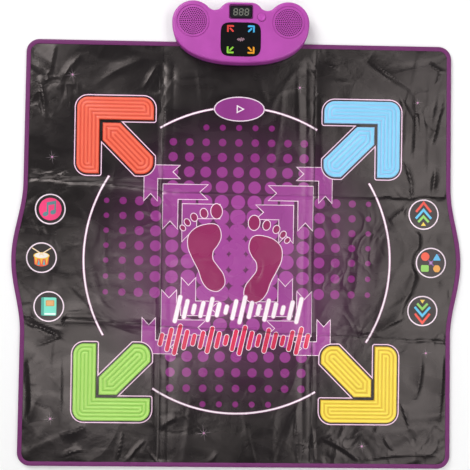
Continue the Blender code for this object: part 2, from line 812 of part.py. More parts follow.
def rounded_plate(outline, low, high, fillet):
    """A plate whose upper edge is rounded."""
    mesh = plate([outline], low, high)
    bm = bmesh.new()
    bm.from_mesh(mesh)
    rim = [edge for edge in bm.edges
           if all(abs(vert.co.z - high) < WELD_DISTANCE for vert in edge.verts)]
    bmesh.ops.bevel(bm, geom=rim, offset=fillet, segments=FILLET_STEPS, profile=0.5,
                    affect='EDGES', clamp_overlap=False)
    bm.to_mesh(mesh)
    bm.free()
    return mesh


def grille_holes(x, y):
    """Rings of round holes over one speaker."""
    holes = [rod(x, y, TOP_UNDERSIDE - CUT_MARGIN, CONSOLE_TOP + CUT_MARGIN,
                 GRILLE_HOLE_RADIUS, GRILLE_HOLE_SIDES)]
    for ring in range(1, GRILLE_RINGS + 1):
        for cx, cy in circle(x, y, ring * GRILLE_PITCH, 6 * ring):
            holes.append(rod(cx, cy, TOP_UNDERSIDE - CUT_MARGIN, CONSOLE_TOP + CUT_MARGIN,
                             GRILLE_HOLE_RADIUS, GRILLE_HOLE_SIDES))
    return holes


def groove_ring(x, y):
    """The ring groove round one grille."""
    inner = GRILLE_GROOVE_RADIUS - GRILLE_GROOVE_WIDTH / 2
    outer = GRILLE_GROOVE_RADIUS + GRILLE_GROOVE_WIDTH / 2
    high = CONSOLE_TOP + CUT_MARGIN
    low = CONSOLE_TOP - GRILLE_GROOVE_DEPTH
    return turned([(inner, high), (outer, high), (outer, low), (inner, low)], x, y, GROOVE_SIDES)


def display_outline(grow=0.0):
    return rounded_box(0.0, MAT_TOP + DISPLAY_Y, DISPLAY_WIDTH + 2 * grow,
                       DISPLAY_DEPTH + 2 * grow, DISPLAY_SHARPNESS, DISPLAY_STEPS)


def panel_outline(grow=0.0):
    return rounded_box(0.0, MAT_TOP + PANEL_Y, PANEL_WIDTH + 2 * grow,
                       PANEL_DEPTH + 2 * grow, PANEL_SHARPNESS, PANEL_STEPS)


def cut_seat(shell, outline):
    """A recess for a window in the top shell, and the opening inside its ledge."""
    floor = CONSOLE_TOP + WINDOW_PROUD - WINDOW_THICKNESS - LAYER_GAP
    combine(shell, plate([outline(LAYER_GAP)], floor, CONSOLE_TOP + CUT_MARGIN), 'DIFFERENCE')
    combine(shell, plate([outline(-WINDOW_LEDGE)], TOP_UNDERSIDE - CUT_MARGIN,
                         floor + CUT_MARGIN), 'DIFFERENCE')


def make_console_top():
    """The upper shell with its bosses, grilles, window seats and button hole."""
    outline = console_outline()
    shell = new_part("console_top", rounded_plate(outline, TOP_SHELL_LOW, CONSOLE_TOP,
                                                  TOP_FILLET), "console_purple")
    cavity = rounded_plate(console_outline(SHELL_WALL), TOP_SHELL_LOW - CUT_MARGIN,
                           TOP_UNDERSIDE, TOP_FILLET - SHELL_WALL)
    combine(shell, cavity, 'DIFFERENCE')
    for _, x, y, _ in screw_places():
        boss = rod(x, y, TOP_SHELL_LOW, (TOP_UNDERSIDE + CONSOLE_TOP) / 2,
                   BOSS_RADIUS, BOSS_SIDES)
        combine(shell, boss, 'UNION')
    cuts = [rod(x, y, TOP_SHELL_LOW - CUT_MARGIN, SCREW_TOP + LAYER_GAP,
                SCREW_RADIUS + LAYER_GAP, SCREW_SIDES) for _, x, y, _ in screw_places()]
    for side in (-1, 1):
        cuts += grille_holes(side * SPEAKER_X, MAT_TOP + SPEAKER_Y)
        cuts.append(groove_ring(side * SPEAKER_X, MAT_TOP + SPEAKER_Y))
    cuts.append(rod(BUTTON_X, MAT_TOP + BUTTON_Y, TOP_UNDERSIDE - CUT_MARGIN,
                    CONSOLE_TOP + CUT_MARGIN, BUTTON_RADIUS + SLIDE_FIT, DISC_SIDES))
    combine(shell, joined(cuts), 'DIFFERENCE')
    cut_seat(shell, display_outline)
    cut_seat(shell, panel_outline)


def rear_cavity():
    """The hollow of the lower shell behind the mat's edge."""
    mesh = plate([console_outline(SHELL_WALL)], REAR_FLOOR + FLOOR_THICKNESS,
                 BOTTOM_SHELL_HIGH + CUT_MARGIN)
    cavity = new_cutter(mesh)
    front = MAT_TOP + STEP_Y + SHELL_WALL
    reach = CONSOLE_FRONT + CUT_MARGIN
    far = SPEAKER_X + LOBE_RADIUS + CUT_MARGIN
    keep_off = block((-far, MAT_TOP - reach, 0.0), (far, front, CONSOLE_TOP))
    step = cavity.modifiers.new("difference", 'BOOLEAN')
    step.operation = 'DIFFERENCE'
    step.solver = 'EXACT'
    step.object = new_cutter(keep_off)
    return cavity


def door_span():
    """The door's front and rear places along Y."""
    front = MAT_TOP + BAY_Y - BAY_HALF_LENGTH - DOOR_OVERLAP
    return front, MAT_TOP + HUMP_Y - DOOR_REAR_GAP


def make_console_bottom():
    """The lower shell: a step over the mat's edge, a battery bay and four bosses."""
    shell = new_part("console_bottom", plate([console_outline()], REAR_FLOOR,
                                             BOTTOM_SHELL_HIGH), "console_base")
    far = SPEAKER_X + LOBE_RADIUS + CUT_MARGIN
    reach = CONSOLE_FRONT + CUT_MARGIN
    combine(shell, block((-far, MAT_TOP - reach, 0.0), (far, MAT_TOP + STEP_Y, FRONT_FLOOR)),
            'DIFFERENCE')
    combine(shell, plate([console_outline(SHELL_WALL)], FRONT_FLOOR + FLOOR_THICKNESS,
                         BOTTOM_SHELL_HIGH + CUT_MARGIN), 'DIFFERENCE')
    step = shell.modifiers.new("difference", 'BOOLEAN')
    step.operation = 'DIFFERENCE'
    step.solver = 'EXACT'
    step.object = rear_cavity()
    bay_half_width = BAY_HALF_WIDTH + BAY_WALL
    bay_half_length = BAY_HALF_LENGTH + BAY_WALL
    bay_y = MAT_TOP + BAY_Y
    combine(shell, block((-bay_half_width, bay_y - bay_half_length, DOOR_TOP),
                         (bay_half_width, bay_y + bay_half_length, BAY_TOP)), 'UNION')
    for _, x, y, through_mat in screw_places():
        low = (FRONT_FLOOR if through_mat else REAR_FLOOR) + FLOOR_THICKNESS / 2
        combine(shell, rod(x, y, low, BOTTOM_SHELL_HIGH, BOSS_RADIUS, BOSS_SIDES), 'UNION')
    cuts = [block((-BAY_HALF_WIDTH, bay_y - BAY_HALF_LENGTH, REAR_FLOOR - CUT_MARGIN),
                  (BAY_HALF_WIDTH, bay_y + BAY_HALF_LENGTH, BAY_CEILING))]
    for _, x, y, through_mat in screw_places():
        cuts.append(rod(x, y, 0.0, BOTTOM_SHELL_HIGH + CUT_MARGIN, SCREW_RADIUS + LAYER_GAP,
                        SCREW_SIDES))
    front = MAT_TOP + TAIL_Y - SLIDE_FIT
    slot = tail_slot(front, front + TAIL_THICKNESS + 2 * SLIDE_FIT)
    cuts.append(plate([slot], 0.0, BOTTOM_SHELL_HIGH + CUT_MARGIN))
    combine(shell, joined(cuts), 'DIFFERENCE')
    for _, x, y, through_mat in screw_places():
        if not through_mat:
            high = REAR_FLOOR + REAR_HEAD_RECESS + SCREW_HEAD_HEIGHT + LAYER_GAP
            combine(shell, rod(x, y, 0.0, high, SCREW_HEAD_RADIUS + LAYER_GAP, SCREW_SIDES),
                    'DIFFERENCE')
    door_front, door_rear = door_span()
    beyond = door_rear + SHELL_WALL + CUT_MARGIN
    half = door_half_width() + SLIDE_FIT
    combine(shell, block((-half, door_front - SLIDE_FIT, 0.0),
                         (half, beyond, DOOR_TOP + LAYER_GAP)), 'DIFFERENCE')
    flange_low, flange_high = flange_heights()
    flange_half = door_half_width() + DOOR_FLANGE + SLIDE_FIT
    combine(shell, block((-flange_half, door_front + SLIDE_FIT, flange_low - LAYER_GAP),
                         (flange_half, beyond, flange_high + LAYER_GAP)), 'DIFFERENCE')


def door_half_width():
    return BAY_HALF_WIDTH + DOOR_OVERLAP


def flange_heights():
    """The door's side flanges run in grooves inside the floor."""
    middle = REAR_FLOOR + FLOOR_THICKNESS / 2
    return middle - DOOR_FLANGE_THICKNESS / 2, middle + DOOR_FLANGE_THICKNESS / 2


def make_battery_door():
    """A plate that slides out to the rear, with a flange on each side."""
    front, rear = door_span()
    half = door_half_width()
    door = new_part("battery_door", block((-half, front, REAR_FLOOR), (half, rear, DOOR_TOP)),
                    "console_base")
    low, high = flange_heights()
    flange_half = half + DOOR_FLANGE
    combine(door, block((-flange_half, front + 2 * SLIDE_FIT, low),
                        (flange_half, rear - SLIDE_FIT, high)), 'UNION')
    grip = block((-DOOR_GRIP_WIDTH / 2, rear - 3 * DOOR_GRIP_WIDTH / 4, REAR_FLOOR - CUT_MARGIN),
                 (DOOR_GRIP_WIDTH / 2, rear - DOOR_GRIP_WIDTH / 3,
                  REAR_FLOOR + DOOR_GRIP_DEPTH))
    combine(door, grip, 'DIFFERENCE')
    origin = Vector((0.0, (front + rear) / 2, (REAR_FLOOR + DOOR_TOP) / 2))
    set_origin(door, origin)


def make_batteries():
    """Three cells side by side, the middle one turned round."""
    radius = CELL_DIAMETER / 2
    body = CELL_LENGTH - CELL_NUB
    for index in range(CELL_COUNT):
        x = (index - (CELL_COUNT - 1) / 2) * (CELL_DIAMETER + SLIDE_FIT)
        half = CELL_LENGTH / 2
        profile = [(0.0, half), (CELL_NUB_RADIUS, half), (CELL_NUB_RADIUS, half - CELL_NUB),
                   (radius, half - CELL_NUB), (radius, half - CELL_NUB - body), (0.0, -half)]
        mesh = turned(profile, 0.0, 0.0, 16)
        quarter_turn = -90.0 if index % 2 == 0 else 90.0
        mesh.transform(Matrix.Rotation(math.radians(quarter_turn), 4, 'X'))
        mesh.transform(Matrix.Translation((x, MAT_TOP + BAY_Y, CELL_LOW + radius)))
        new_part(f"battery_{index + 1}", mesh, "cell")


def make_board():
    """The circuit board, with a neck under the display."""
    right = [(BOARD_HALF_WIDTH, -BOARD_FRONT), (BOARD_HALF_WIDTH, BOARD_SHOULDER),
             (BOARD_NECK_HALF_WIDTH, BOARD_SHOULDER), (BOARD_NECK_HALF_WIDTH, BOARD_REAR)]
    outline = [(x, MAT_TOP + y) for x, y in right + mirrored(right)]
    new_part("main_board", plate([outline], BOARD_LOW, BOARD_TOP), "board")


def make_display():
    """The digit module on the board and the smoked window over it."""
    high = CONSOLE_TOP + WINDOW_PROUD
    low = high - WINDOW_THICKNESS
    new_part("display_window", plate([display_outline()], low, high), "smoked_window")
    y = MAT_TOP + DISPLAY_Y
    half_width = DISPLAY_WIDTH / 2 - WINDOW_LEDGE - MODULE_MARGIN
    half_depth = DISPLAY_DEPTH / 2 - WINDOW_LEDGE - MODULE_MARGIN
    module = block((-half_width, y - half_depth, BOARD_TOP + LAYER_GAP),
                   (half_width, y + half_depth, low - LAYER_GAP))
    new_part("digit_display", module, "digits")


def lens_outline(quarter):
    """A small arrow that points to its own corner."""
    side, end = QUARTERS[quarter]
    head = 0.80
    notch = 0.22
    reach = 0.58
    shaft = 0.64
    shape = [(0.0, 0.0), (head, 0.0), (reach, notch), (1.0, shaft), (shaft, 1.0),
             (notch, reach), (0.0, head)]
    corner_x = side * (LENS_X + LENS_SIZE / 2)
    corner_y = MAT_TOP + PANEL_Y + end * (LENS_Y + LENS_SIZE / 2)
    return [(corner_x - side * u * LENS_SIZE, corner_y - end * v * LENS_SIZE)
            for u, v in shape]


def grown(loop, distance):
    """An outline moved outwards by a distance, its corners kept sharp."""
    corners = [Vector(point) for point in loop]
    area = sum(a.x * b.y - b.x * a.y for a, b in zip(corners, corners[1:] + corners[:1]))
    turn = math.copysign(1.0, area)
    moved = []
    for index, corner in enumerate(corners):
        before = (corner - corners[index - 1]).normalized()
        after = (corners[(index + 1) % len(corners)] - corner).normalized()
        out_before = Vector((before.y, -before.x)) * turn
        out_after = Vector((after.y, -after.x)) * turn
        shift = (out_before + out_after) / (1.0 + out_before.dot(out_after))
        moved.append(tuple(corner + shift * distance))
    return moved


def make_panel():
    """The gloss black panel and the four arrow lenses that stand in it."""
    high = CONSOLE_TOP + WINDOW_PROUD
    low = high - WINDOW_THICKNESS
    loops = [panel_outline()] + [grown(lens_outline(quarter), SLIDE_FIT) for quarter in QUARTERS]
    new_part("panel_window", plate(loops, low, high), "smoked_window")
    for quarter, lens_name in LENS_NAMES.items():
        new_part(f"{lens_name}_lens", plate([lens_outline(quarter)], BOARD_TOP + LAYER_GAP,
                                            high), lens_name)


def make_button():
    """The round button over a push switch on the board."""
    x = BUTTON_X
    y = MAT_TOP + BUTTON_Y
    switch_low = BOARD_TOP + LAYER_GAP
    switch_top = switch_low + SWITCH_HEIGHT
    plunger_top = switch_top + SWITCH_PLUNGER
    half = SWITCH_SIZE / 2
    switch = new_part("button_switch", block((x - half, y - half, switch_low),
                                             (x + half, y + half, switch_top)), "speaker")
    combine(switch, rod(x, y, switch_top - SWITCH_PLUNGER, plunger_top,
                        SWITCH_PLUNGER_RADIUS, SCREW_SIDES), 'UNION')
    top = CONSOLE_TOP + BUTTON_PROUD
    flange_top = TOP_UNDERSIDE - LAYER_GAP
    flange_low = flange_top - BUTTON_FLANGE_THICKNESS
    flange_radius = BUTTON_RADIUS + BUTTON_FLANGE
    stem_low = plunger_top + BUTTON_TRAVEL + LAYER_GAP
    profile = [(0.0, top), (BUTTON_RADIUS - BUTTON_ROUND, top),
               (BUTTON_RADIUS, top - BUTTON_ROUND), (BUTTON_RADIUS, flange_top),
               (flange_radius, flange_top), (flange_radius, flange_low),
               (BUTTON_STEM_RADIUS, flange_low), (BUTTON_STEM_RADIUS, stem_low),
               (0.0, stem_low)]
    button = new_part("round_button", turned(profile, x, y, BUTTON_SIDES), "console_purple")
    set_origin(button, (x, y, stem_low))


def make_speakers():
    """Two cone speakers hung under the grilles."""
    top = TOP_UNDERSIDE - LAYER_GAP
    low = top - SPEAKER_DEPTH
    magnet_top = low + SPEAKER_DEPTH * 0.4
    profile = [(0.0, top - 0.0040), (SPEAKER_RADIUS * 0.28, top - 0.0055),
               (SPEAKER_RADIUS * 0.82, top - 0.0010), (SPEAKER_RADIUS * 0.86, top),
               (SPEAKER_RADIUS, top), (SPEAKER_RADIUS, top - 0.0016),
               (SPEAKER_RADIUS * 0.92, top - 0.0022), (MAGNET_RADIUS, magnet_top),
               (MAGNET_RADIUS, low), (0.0, low)]
    for name, side in (("left_speaker", -1), ("right_speaker", 1)):
        mesh = turned(profile, side * SPEAKER_X, MAT_TOP + SPEAKER_Y, SPEAKER_SIDES)
        new_part(name, mesh, "speaker")


def make_fasteners():
    """Case screws: the rear pair in the shell, the front pair through the mat."""
    for name, x, y, through_mat in screw_places():
        low = FRONT_HEAD_LOW if through_mat else REAR_FLOOR + REAR_HEAD_RECESS
        neck = low + SCREW_HEAD_HEIGHT
        profile = [(0.0, SCREW_TOP), (SCREW_RADIUS, SCREW_TOP), (SCREW_RADIUS, neck),
                   (SCREW_HEAD_RADIUS, neck), (SCREW_HEAD_RADIUS, low), (0.0, low)]
        new_part(name, turned(profile, x, y, SCREW_SIDES), "steel")
    for name, side in (("foot_left", -1), ("foot_right", 1)):
        mesh = rod(side * FOOT_X, MAT_TOP + FOOT_Y, 0.0, REAR_FLOOR - LAYER_GAP, FOOT_RADIUS,
                   FOOT_SIDES)
        new_part(name, mesh, "rubber")


def make_tail():
    """The films' printed tail: from the foam, up through the slots, to the board."""
    thick = TAIL_THICKNESS
    high = BOARD_LOW - LAYER_GAP
    front = -TAIL_REACH
    back = TAIL_BOARD_RUN
    line = [(front, 0.0), (thick, 0.0), (thick, high - TAIL_LOW - thick),
            (back, high - TAIL_LOW - thick), (back, high - TAIL_LOW),
            (0.0, high - TAIL_LOW), (0.0, thick), (front, thick)]
    mesh = plate([line], -TAIL_WIDTH / 2, TAIL_WIDTH / 2)
    across = Matrix(((0.0, 0.0, 1.0, 0.0), (1.0, 0.0, 0.0, 0.0), (0.0, 1.0, 0.0, 0.0),
                     (0.0, 0.0, 0.0, 1.0)))
    mesh.transform(Matrix.Translation((0.0, MAT_TOP + TAIL_Y, TAIL_LOW)) @ across)
    new_part("flex_tail", mesh, "film")


def shade_round_parts():
    """Round faces shade smooth, flat ones stay flat, and hard edges stay sharp."""
    for obj in PARTS.objects:
        if obj.type == 'MESH':
            obj.data.shade_smooth()
            obj.data.set_sharp_from_angle(angle=math.radians(SMOOTH_ANGLE))
            weighted = obj.modifiers.new("flat_faces", 'WEIGHTED_NORMAL')
            weighted.keep_sharp = True


clear_scene()
PARTS = new_collection("dance_mat")
GUIDES = new_collection("cutters")
FOLDS = {}
make_folds()
make_layers()
make_bindings()
make_arrows()
make_discs()
make_console_top()
make_console_bottom()
make_battery_door()
make_batteries()
make_board()
make_display()
make_panel()
make_button()
make_speakers()
make_fasteners()
make_tail()
shade_round_parts()
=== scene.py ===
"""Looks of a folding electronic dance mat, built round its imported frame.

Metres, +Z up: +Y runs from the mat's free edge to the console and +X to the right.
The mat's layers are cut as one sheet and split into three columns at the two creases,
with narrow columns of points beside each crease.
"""

import math
import random
from functools import partialmethod

import bmesh
import bpy
import numpy as np
from mathutils import Matrix, Vector, kdtree
from mathutils.geometry import delaunay_2d_cdt


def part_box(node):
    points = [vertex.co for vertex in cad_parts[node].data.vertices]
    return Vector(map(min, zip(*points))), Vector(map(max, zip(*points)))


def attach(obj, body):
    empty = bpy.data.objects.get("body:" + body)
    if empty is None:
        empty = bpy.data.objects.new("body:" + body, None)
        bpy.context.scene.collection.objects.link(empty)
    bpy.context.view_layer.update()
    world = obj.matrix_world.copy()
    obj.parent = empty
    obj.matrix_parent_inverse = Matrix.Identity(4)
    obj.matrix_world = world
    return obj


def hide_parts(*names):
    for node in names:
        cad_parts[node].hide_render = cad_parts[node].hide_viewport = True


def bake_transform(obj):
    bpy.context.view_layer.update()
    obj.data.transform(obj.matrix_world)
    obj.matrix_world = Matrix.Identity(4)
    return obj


bl_info = {
    "name": "Dance mat looks",
    "version": (1, 0, 0),
    "blender": (4, 5, 0),
    "location": "View3D > Sidebar > Dance mat",
    "description": "Builds the printed mat, its pads, the console and the stage",
    "category": "Object",
}

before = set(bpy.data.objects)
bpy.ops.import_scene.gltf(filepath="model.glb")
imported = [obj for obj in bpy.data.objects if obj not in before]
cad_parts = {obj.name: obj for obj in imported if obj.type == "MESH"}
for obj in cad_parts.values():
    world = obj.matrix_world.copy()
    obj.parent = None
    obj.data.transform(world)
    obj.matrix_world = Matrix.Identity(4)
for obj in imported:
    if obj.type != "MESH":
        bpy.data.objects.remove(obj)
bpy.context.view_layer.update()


def linear(code):
    """A colour written as rrggbb, in linear light. Other colours stay as they are."""
    if not isinstance(code, str):
        return tuple(code)
    shares = [int(code[place:place + 2], 16) / 255 for place in (0, 2, 4)]
    return tuple(share / 12.92 if share <= 0.04045 else ((share + 0.055) / 1.055) ** 2.4
                 for share in shares)


def middle_of(name):
    """The middle of a node, seen from above."""
    low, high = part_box(name)
    return (low[0] + high[0]) / 2, (low[1] + high[1]) / 2


# Places of the frame
START_Y = middle_of("start_disc")[1]
MAT_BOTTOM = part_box("binding_bottom")[0][1]
MAT_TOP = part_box("binding_top")[1][1]
PRINT_Y = (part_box("green_chevron")[0][1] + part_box("red_chevron")[1][1]) / 2
COVER_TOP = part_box("cover_centre")[1][2]
BINDING_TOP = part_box("binding_top")[1][2]
PAD_BOTTOM, PAD_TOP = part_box("red_chevron")[0][2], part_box("red_chevron")[1][2]
DISC_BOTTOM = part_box("start_disc")[0][2]

# Mat outline, as the frame has it
TOP_WIDTH = 0.852
BOTTOM_WIDTH = 0.866
SIDE_BULGE = 0.0205
BULGE_REACH = 0.150
CORNER_RADIUS = 0.026
LAYER_INSET = 0.0028
FOLD_X = 0.152
BEND_WIDTH = 0.012
BEND_STEP = 0.001
TAPE_LIP = 0.0092
UNDER_LIP = 0.0003

# Arrow pads, counted inwards from an arrow's outer corner
ARROW_SIZE = 0.153
ARM_WIDTH = 0.045
STEM_GAP = 0.0065
STEM_LEG = 0.035
CORNER_ROUND = 0.0215
TIP_ROUND = 0.023
ARROW_EDGE_X = 0.3235
ARROW_EDGE_Y = (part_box("red_chevron")[1][1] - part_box("green_chevron")[0][1]) / 2
SLIDE_FIT = 0.0004
WINDOW_MARGIN = 0.0012
QUARTERS = {"red": (-1, 1), "blue": (1, 1), "green": (-1, -1), "yellow": (1, -1)}

# Switch discs
DISC_RADIUS = 0.031
START_WIDTH = 0.103
START_DEPTH = 0.051
DISCS = {
    "left_disc_top": (-0.374, 0.097), "left_disc_middle": (-0.390, 0.0),
    "left_disc_bottom": (-0.374, -0.097), "right_disc_top": (0.374, 0.097),
    "right_disc_middle": (0.390, 0.0), "right_disc_bottom": (0.374, -0.097),
}

# Printed dots: the pitch of their columns and rows
DOT_COLUMN = 0.0328
DOT_ROW_ABOVE = 0.0298
DOT_ROW_BELOW = 0.0317
DOT_SHIFT = 0.003
WARM_SHEEN = (1.0, 0.88, 0.85, 1.0)

# A dot's largest radius, and what it loses with each column or row from the middle
DOT_LARGEST_COLUMN, DOT_LOSS_COLUMN = 0.0202, 0.00185
DOT_LARGEST_ROW, DOT_LOSS_ROW = 0.0204, 0.0016

# Distance between the middles of the level bars
BAR_PITCH = 0.0162

# Holes in the mat for the front screws and the tail
SCREW_FIT, SCREW_ROOM = 0.0018, 0.0033
TAIL_SLOT, FOAM_TAIL_SLOT, TAIL_RISE = 0.0089, 0.0249, 0.0071

# Distances between the points of the inner layers and of small outlines
LAYER_GRID, FINE_STEP = 0.014, 0.003

# Console: its speakers' and screws' places from the mat's rear edge, and its windows
SPEAKER_X, SPEAKER_Y = 0.094, 0.034
RING_INNER, RING_OUTER, RING_ROUND, RING_DEPTH = 0.0305, 0.0325, 0.0004, 0.0013
CASE_SCREWS = ((0.1165, 0.0585), (0.099, -0.014))
BOSS_RADIUS, BORE_TOP, BUTTON_HOLE, SEAT_LEDGE = 0.004, 0.0263, 0.0086, 0.0022
WINDOW_RISE, WINDOW_THICK, GLUE_GAP = 0.0001, 0.0013, 0.0003
CONSOLE_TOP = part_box("panel_window")[1][2] - WINDOW_RISE
LENS_COLOURS = {"red": "d8453f", "blue": "49b2e6", "green": "86c340", "orange": "efa02f"}


def colour_setting(name, description, code):
    return bpy.props.FloatVectorProperty(
        name=name, description=description, subtype='COLOR', default=linear(code), min=0.0,
        max=1.0)


def length_setting(name, description, default, least, most):
    return bpy.props.FloatProperty(
        name=name, description=description, default=default, min=least, max=most,
        subtype='DISTANCE', unit='LENGTH')


def count_setting(name, description, default, most):
    return bpy.props.IntProperty(name=name, description=description, default=default, min=1,
                                 max=most)


def strength_setting(name, description, default):
    return bpy.props.FloatProperty(name=name, description=description, default=default, min=0.0)


class CoverSettings(bpy.types.PropertyGroup):
    """The printed cover."""

    vinyl: colour_setting("Vinyl", "Colour of the unprinted cover", "181517")
    outline: colour_setting("Outlines", "Colour of the printed lines", "fbdff0")
    white: colour_setting("White print", "Colour of the circle and the upper level bars", "fdf3f8")
    purple: colour_setting("Purple print", "Colour of the brackets and middle dots", "a04596")
    footprint: colour_setting("Footprints", "Colour of the two footprints", "972b61")
    bars: colour_setting("Lower level bars", "Colour of the lower level bars", "dc2f58")
    grid: length_setting("Grid", "Distance between points of the cover", 0.0034, 0.002, 0.02)
    crease: length_setting("Crease height", "Height of the ridges beside a crease", 0.0010, 0.0,
                           0.0012)
    wrinkle: length_setting("Wrinkle height", "Height of the loose vinyl's wrinkles", 0.0009,
                            0.0, 0.0015)


class PadSettings(bpy.types.PropertyGroup):
    """The four padded arrows."""

    grooves: count_setting("Grooves", "Grooves between a pad's edge and its middle", 3, 6)
    groove_depth: length_setting("Groove depth", "Depth of the grooves", 0.0012, 0.0, 0.002)
    crown: length_setting("Crown", "Rise from a pad's edge to its middle", 0.0006, 0.0, 0.002)
    edge_roll: length_setting("Edge roll", "Radius of the rolled edge", 0.0018, 0.0005, 0.004)
    edge_drop: length_setting("Edge drop", "Height lost over the edge", 0.0013, 0.0, 0.002)
    ring: length_setting("Ring distance", "Distance of the rings of points", 0.0009, 0.0004,
                         0.003)


class ConsoleSettings(bpy.types.PropertyGroup):
    """The console's shell."""

    shell: colour_setting("Shell", "Colour of the upper shell", "b243a8")
    # The base colour is darker than the shell, as painted shade on the console's front wall
    base: colour_setting("Base", "Colour of the lower shell and the battery door", "651a69")
    wall: length_setting("Wall", "Thickness of the shell", 0.0022, 0.001, 0.004)
    fillet: length_setting("Top rounding", "Radius of the upper edge", 0.005, 0.0025, 0.008)
    hole: length_setting("Grille hole", "Radius of a hole", 0.0013, 0.0005, 0.0018)
    hole_pitch: length_setting("Grille pitch", "Distance of the rings of holes", 0.0037, 0.003,
                               0.006)
    hole_rings: count_setting("Grille rings", "Rings of holes over each speaker", 7, 8)


class StageSettings(bpy.types.PropertyGroup):
    """Camera, light and floor."""

    eye: bpy.props.FloatVectorProperty(
        name="Camera place", description="Where the camera stands", subtype='TRANSLATION',
        unit='LENGTH', default=(-0.0343, -0.0060, 1.4))
    turn: bpy.props.FloatVectorProperty(
        name="Camera turn", description="The camera's rotation", subtype='EULER',
        unit='ROTATION', default=(0.00534, -0.02091, 0.01417))
    lens: bpy.props.FloatProperty(
        name="Lens", description="Focal length in millimetres on a 36 mm sensor",
        default=53.26, min=20.0, max=200.0)
    key: strength_setting("Key light", "Power of the large soft light", 54.0)
    overhead: strength_setting("Overhead lights", "Power of the lights the vinyl mirrors", 19.0)
    sky: strength_setting("Sky", "Strength of the light from overhead", 0.16)
    floor: bpy.props.FloatVectorProperty(
        name="Floor", description="Colour of the floor", subtype='COLOR',
        default=(0.93, 0.93, 0.93), min=0.0, max=1.0)


# Outlines: lists of points, anticlockwise

def arc(x, y, radius, start, end, steps):
    """Points on a round line, from one angle in degrees to another."""
    turns = [math.radians(start + (end - start) * step / steps) for step in range(steps + 1)]
    return [(x + radius * math.cos(turn), y + radius * math.sin(turn)) for turn in turns]


def circle(x, y, radius, steps=48):
    return arc(x, y, radius, 0.0, 360.0, steps)[:-1]


def oval(x, y, half_width, half_depth, steps=72):
    return [(x + half_width * px, y + half_depth * py) for px, py in circle(0.0, 0.0, 1.0, steps)]


def mirrored(points):
    """Points mirrored across the middle plane, in reverse order."""
    return [(-x, y) for x, y in reversed(points)]


def turned(points, x, y, degrees):
    """Points turned about the origin and then moved."""
    cosine, sine = math.cos(math.radians(degrees)), math.sin(math.radians(degrees))
    return [(x + px * cosine - py * sine, y + px * sine + py * cosine) for px, py in points]


def rounded(points, radius, steps=4):
    """A polygon with its corners rounded off."""
    result = []
    corners = [Vector(point) for point in points]
    for index, corner in enumerate(corners):
        back = corners[index - 1] - corner
        ahead = corners[(index + 1) % len(corners)] - corner
        cut = min(radius, back.length * 0.45, ahead.length * 0.45)
        first, last = corner + back.normalized() * cut, corner + ahead.normalized() * cut
        for step in range(steps + 1):
            share = step / steps
            point = first.lerp(corner, share).lerp(corner.lerp(last, share), share)
            result.append((point.x, point.y))
    return result


def smooth_loop(points, steps=6):
    """A closed curve through points."""
    result = []
    count = len(points)
    for index in range(count):
        before, start, end, after = (Vector(points[(index + shift) % count])
                                     for shift in (-1, 0, 1, 2))
        for step in range(steps):
            t = step / steps
            point = 0.5 * (2 * start + (end - before) * t
                           + (2 * before - 5 * start + 4 * end - after) * t ** 2
                           + (3 * start - before - 3 * end + after) * t ** 3)
            result.append((point.x, point.y))
    return result


def rectangle(left, front, right, rear):
    return [(left, front), (right, front), (right, rear), (left, rear)]


def headings(points, closed=False):
    """Each point of a line with the line's headings before and after it."""
    corners = [Vector(point) for point in points]
    count = len(corners)
    for index, corner in enumerate(corners):
        before = corners[index - 1 if closed else max(index - 1, 0)]
        after = corners[(index + 1) % count if closed else min(index + 1, count - 1)]
        yield corner, (corner - before).normalized(), (after - corner).normalized()


def grown(loop, distance):
    """A closed outline moved outwards along its normals."""
    area = sum(ax * by - bx * ay for (ax, ay), (bx, by) in zip(loop, loop[1:] + loop[:1]))
    side = math.copysign(1.0, area)
    moved = []
    for corner, before, after in headings(loop, closed=True):
        shift = Vector((before.y + after.y, -before.x - after.x)) * side * distance
        shift /= max(0.35, 1.0 + before.dot(after))
        moved.append((corner.x + shift.x, corner.y + shift.y))
    return moved


def stroke(points, width):
    """A band of one width along an open line."""
    left, right = [], []
    for corner, before, after in headings(points):
        out = Vector((-before.y - after.y, before.x + after.x)).normalized()
        ahead = after if after.length else before
        out *= width / 2 / max(0.5, out.dot(Vector((-ahead.y, ahead.x))))
        left.append((corner.x + out.x, corner.y + out.y))
        right.append((corner.x - out.x, corner.y - out.y))
    return right + left[::-1]


def dense(loop, step, closed=True):
    """An outline or an open line with extra points on its long sides."""
    result = []
    ahead = loop[1:] + loop[:1] if closed else loop[1:]
    for (ax, ay), (bx, by) in zip(loop, ahead):
        count = max(1, math.ceil(math.hypot(bx - ax, by - ay) / step))
        result += [(ax + (bx - ax) * part / count, ay + (by - ay) * part / count)
                   for part in range(count)]
    return result if closed else result + [loop[-1]]


def side_x(y, inset=0.0):
    """Half the mat's width at a place along its length."""
    share = (y - MAT_BOTTOM) / (MAT_TOP - MAT_BOTTOM)
    straight = (BOTTOM_WIDTH * (1.0 - share) + TOP_WIDTH * share) / 2
    reach = (y - PRINT_Y) / BULGE_REACH
    bulge = SIDE_BULGE * math.cos(reach * math.pi / 2) ** 2 if abs(reach) < 1.0 else 0.0
    return straight + bulge - inset


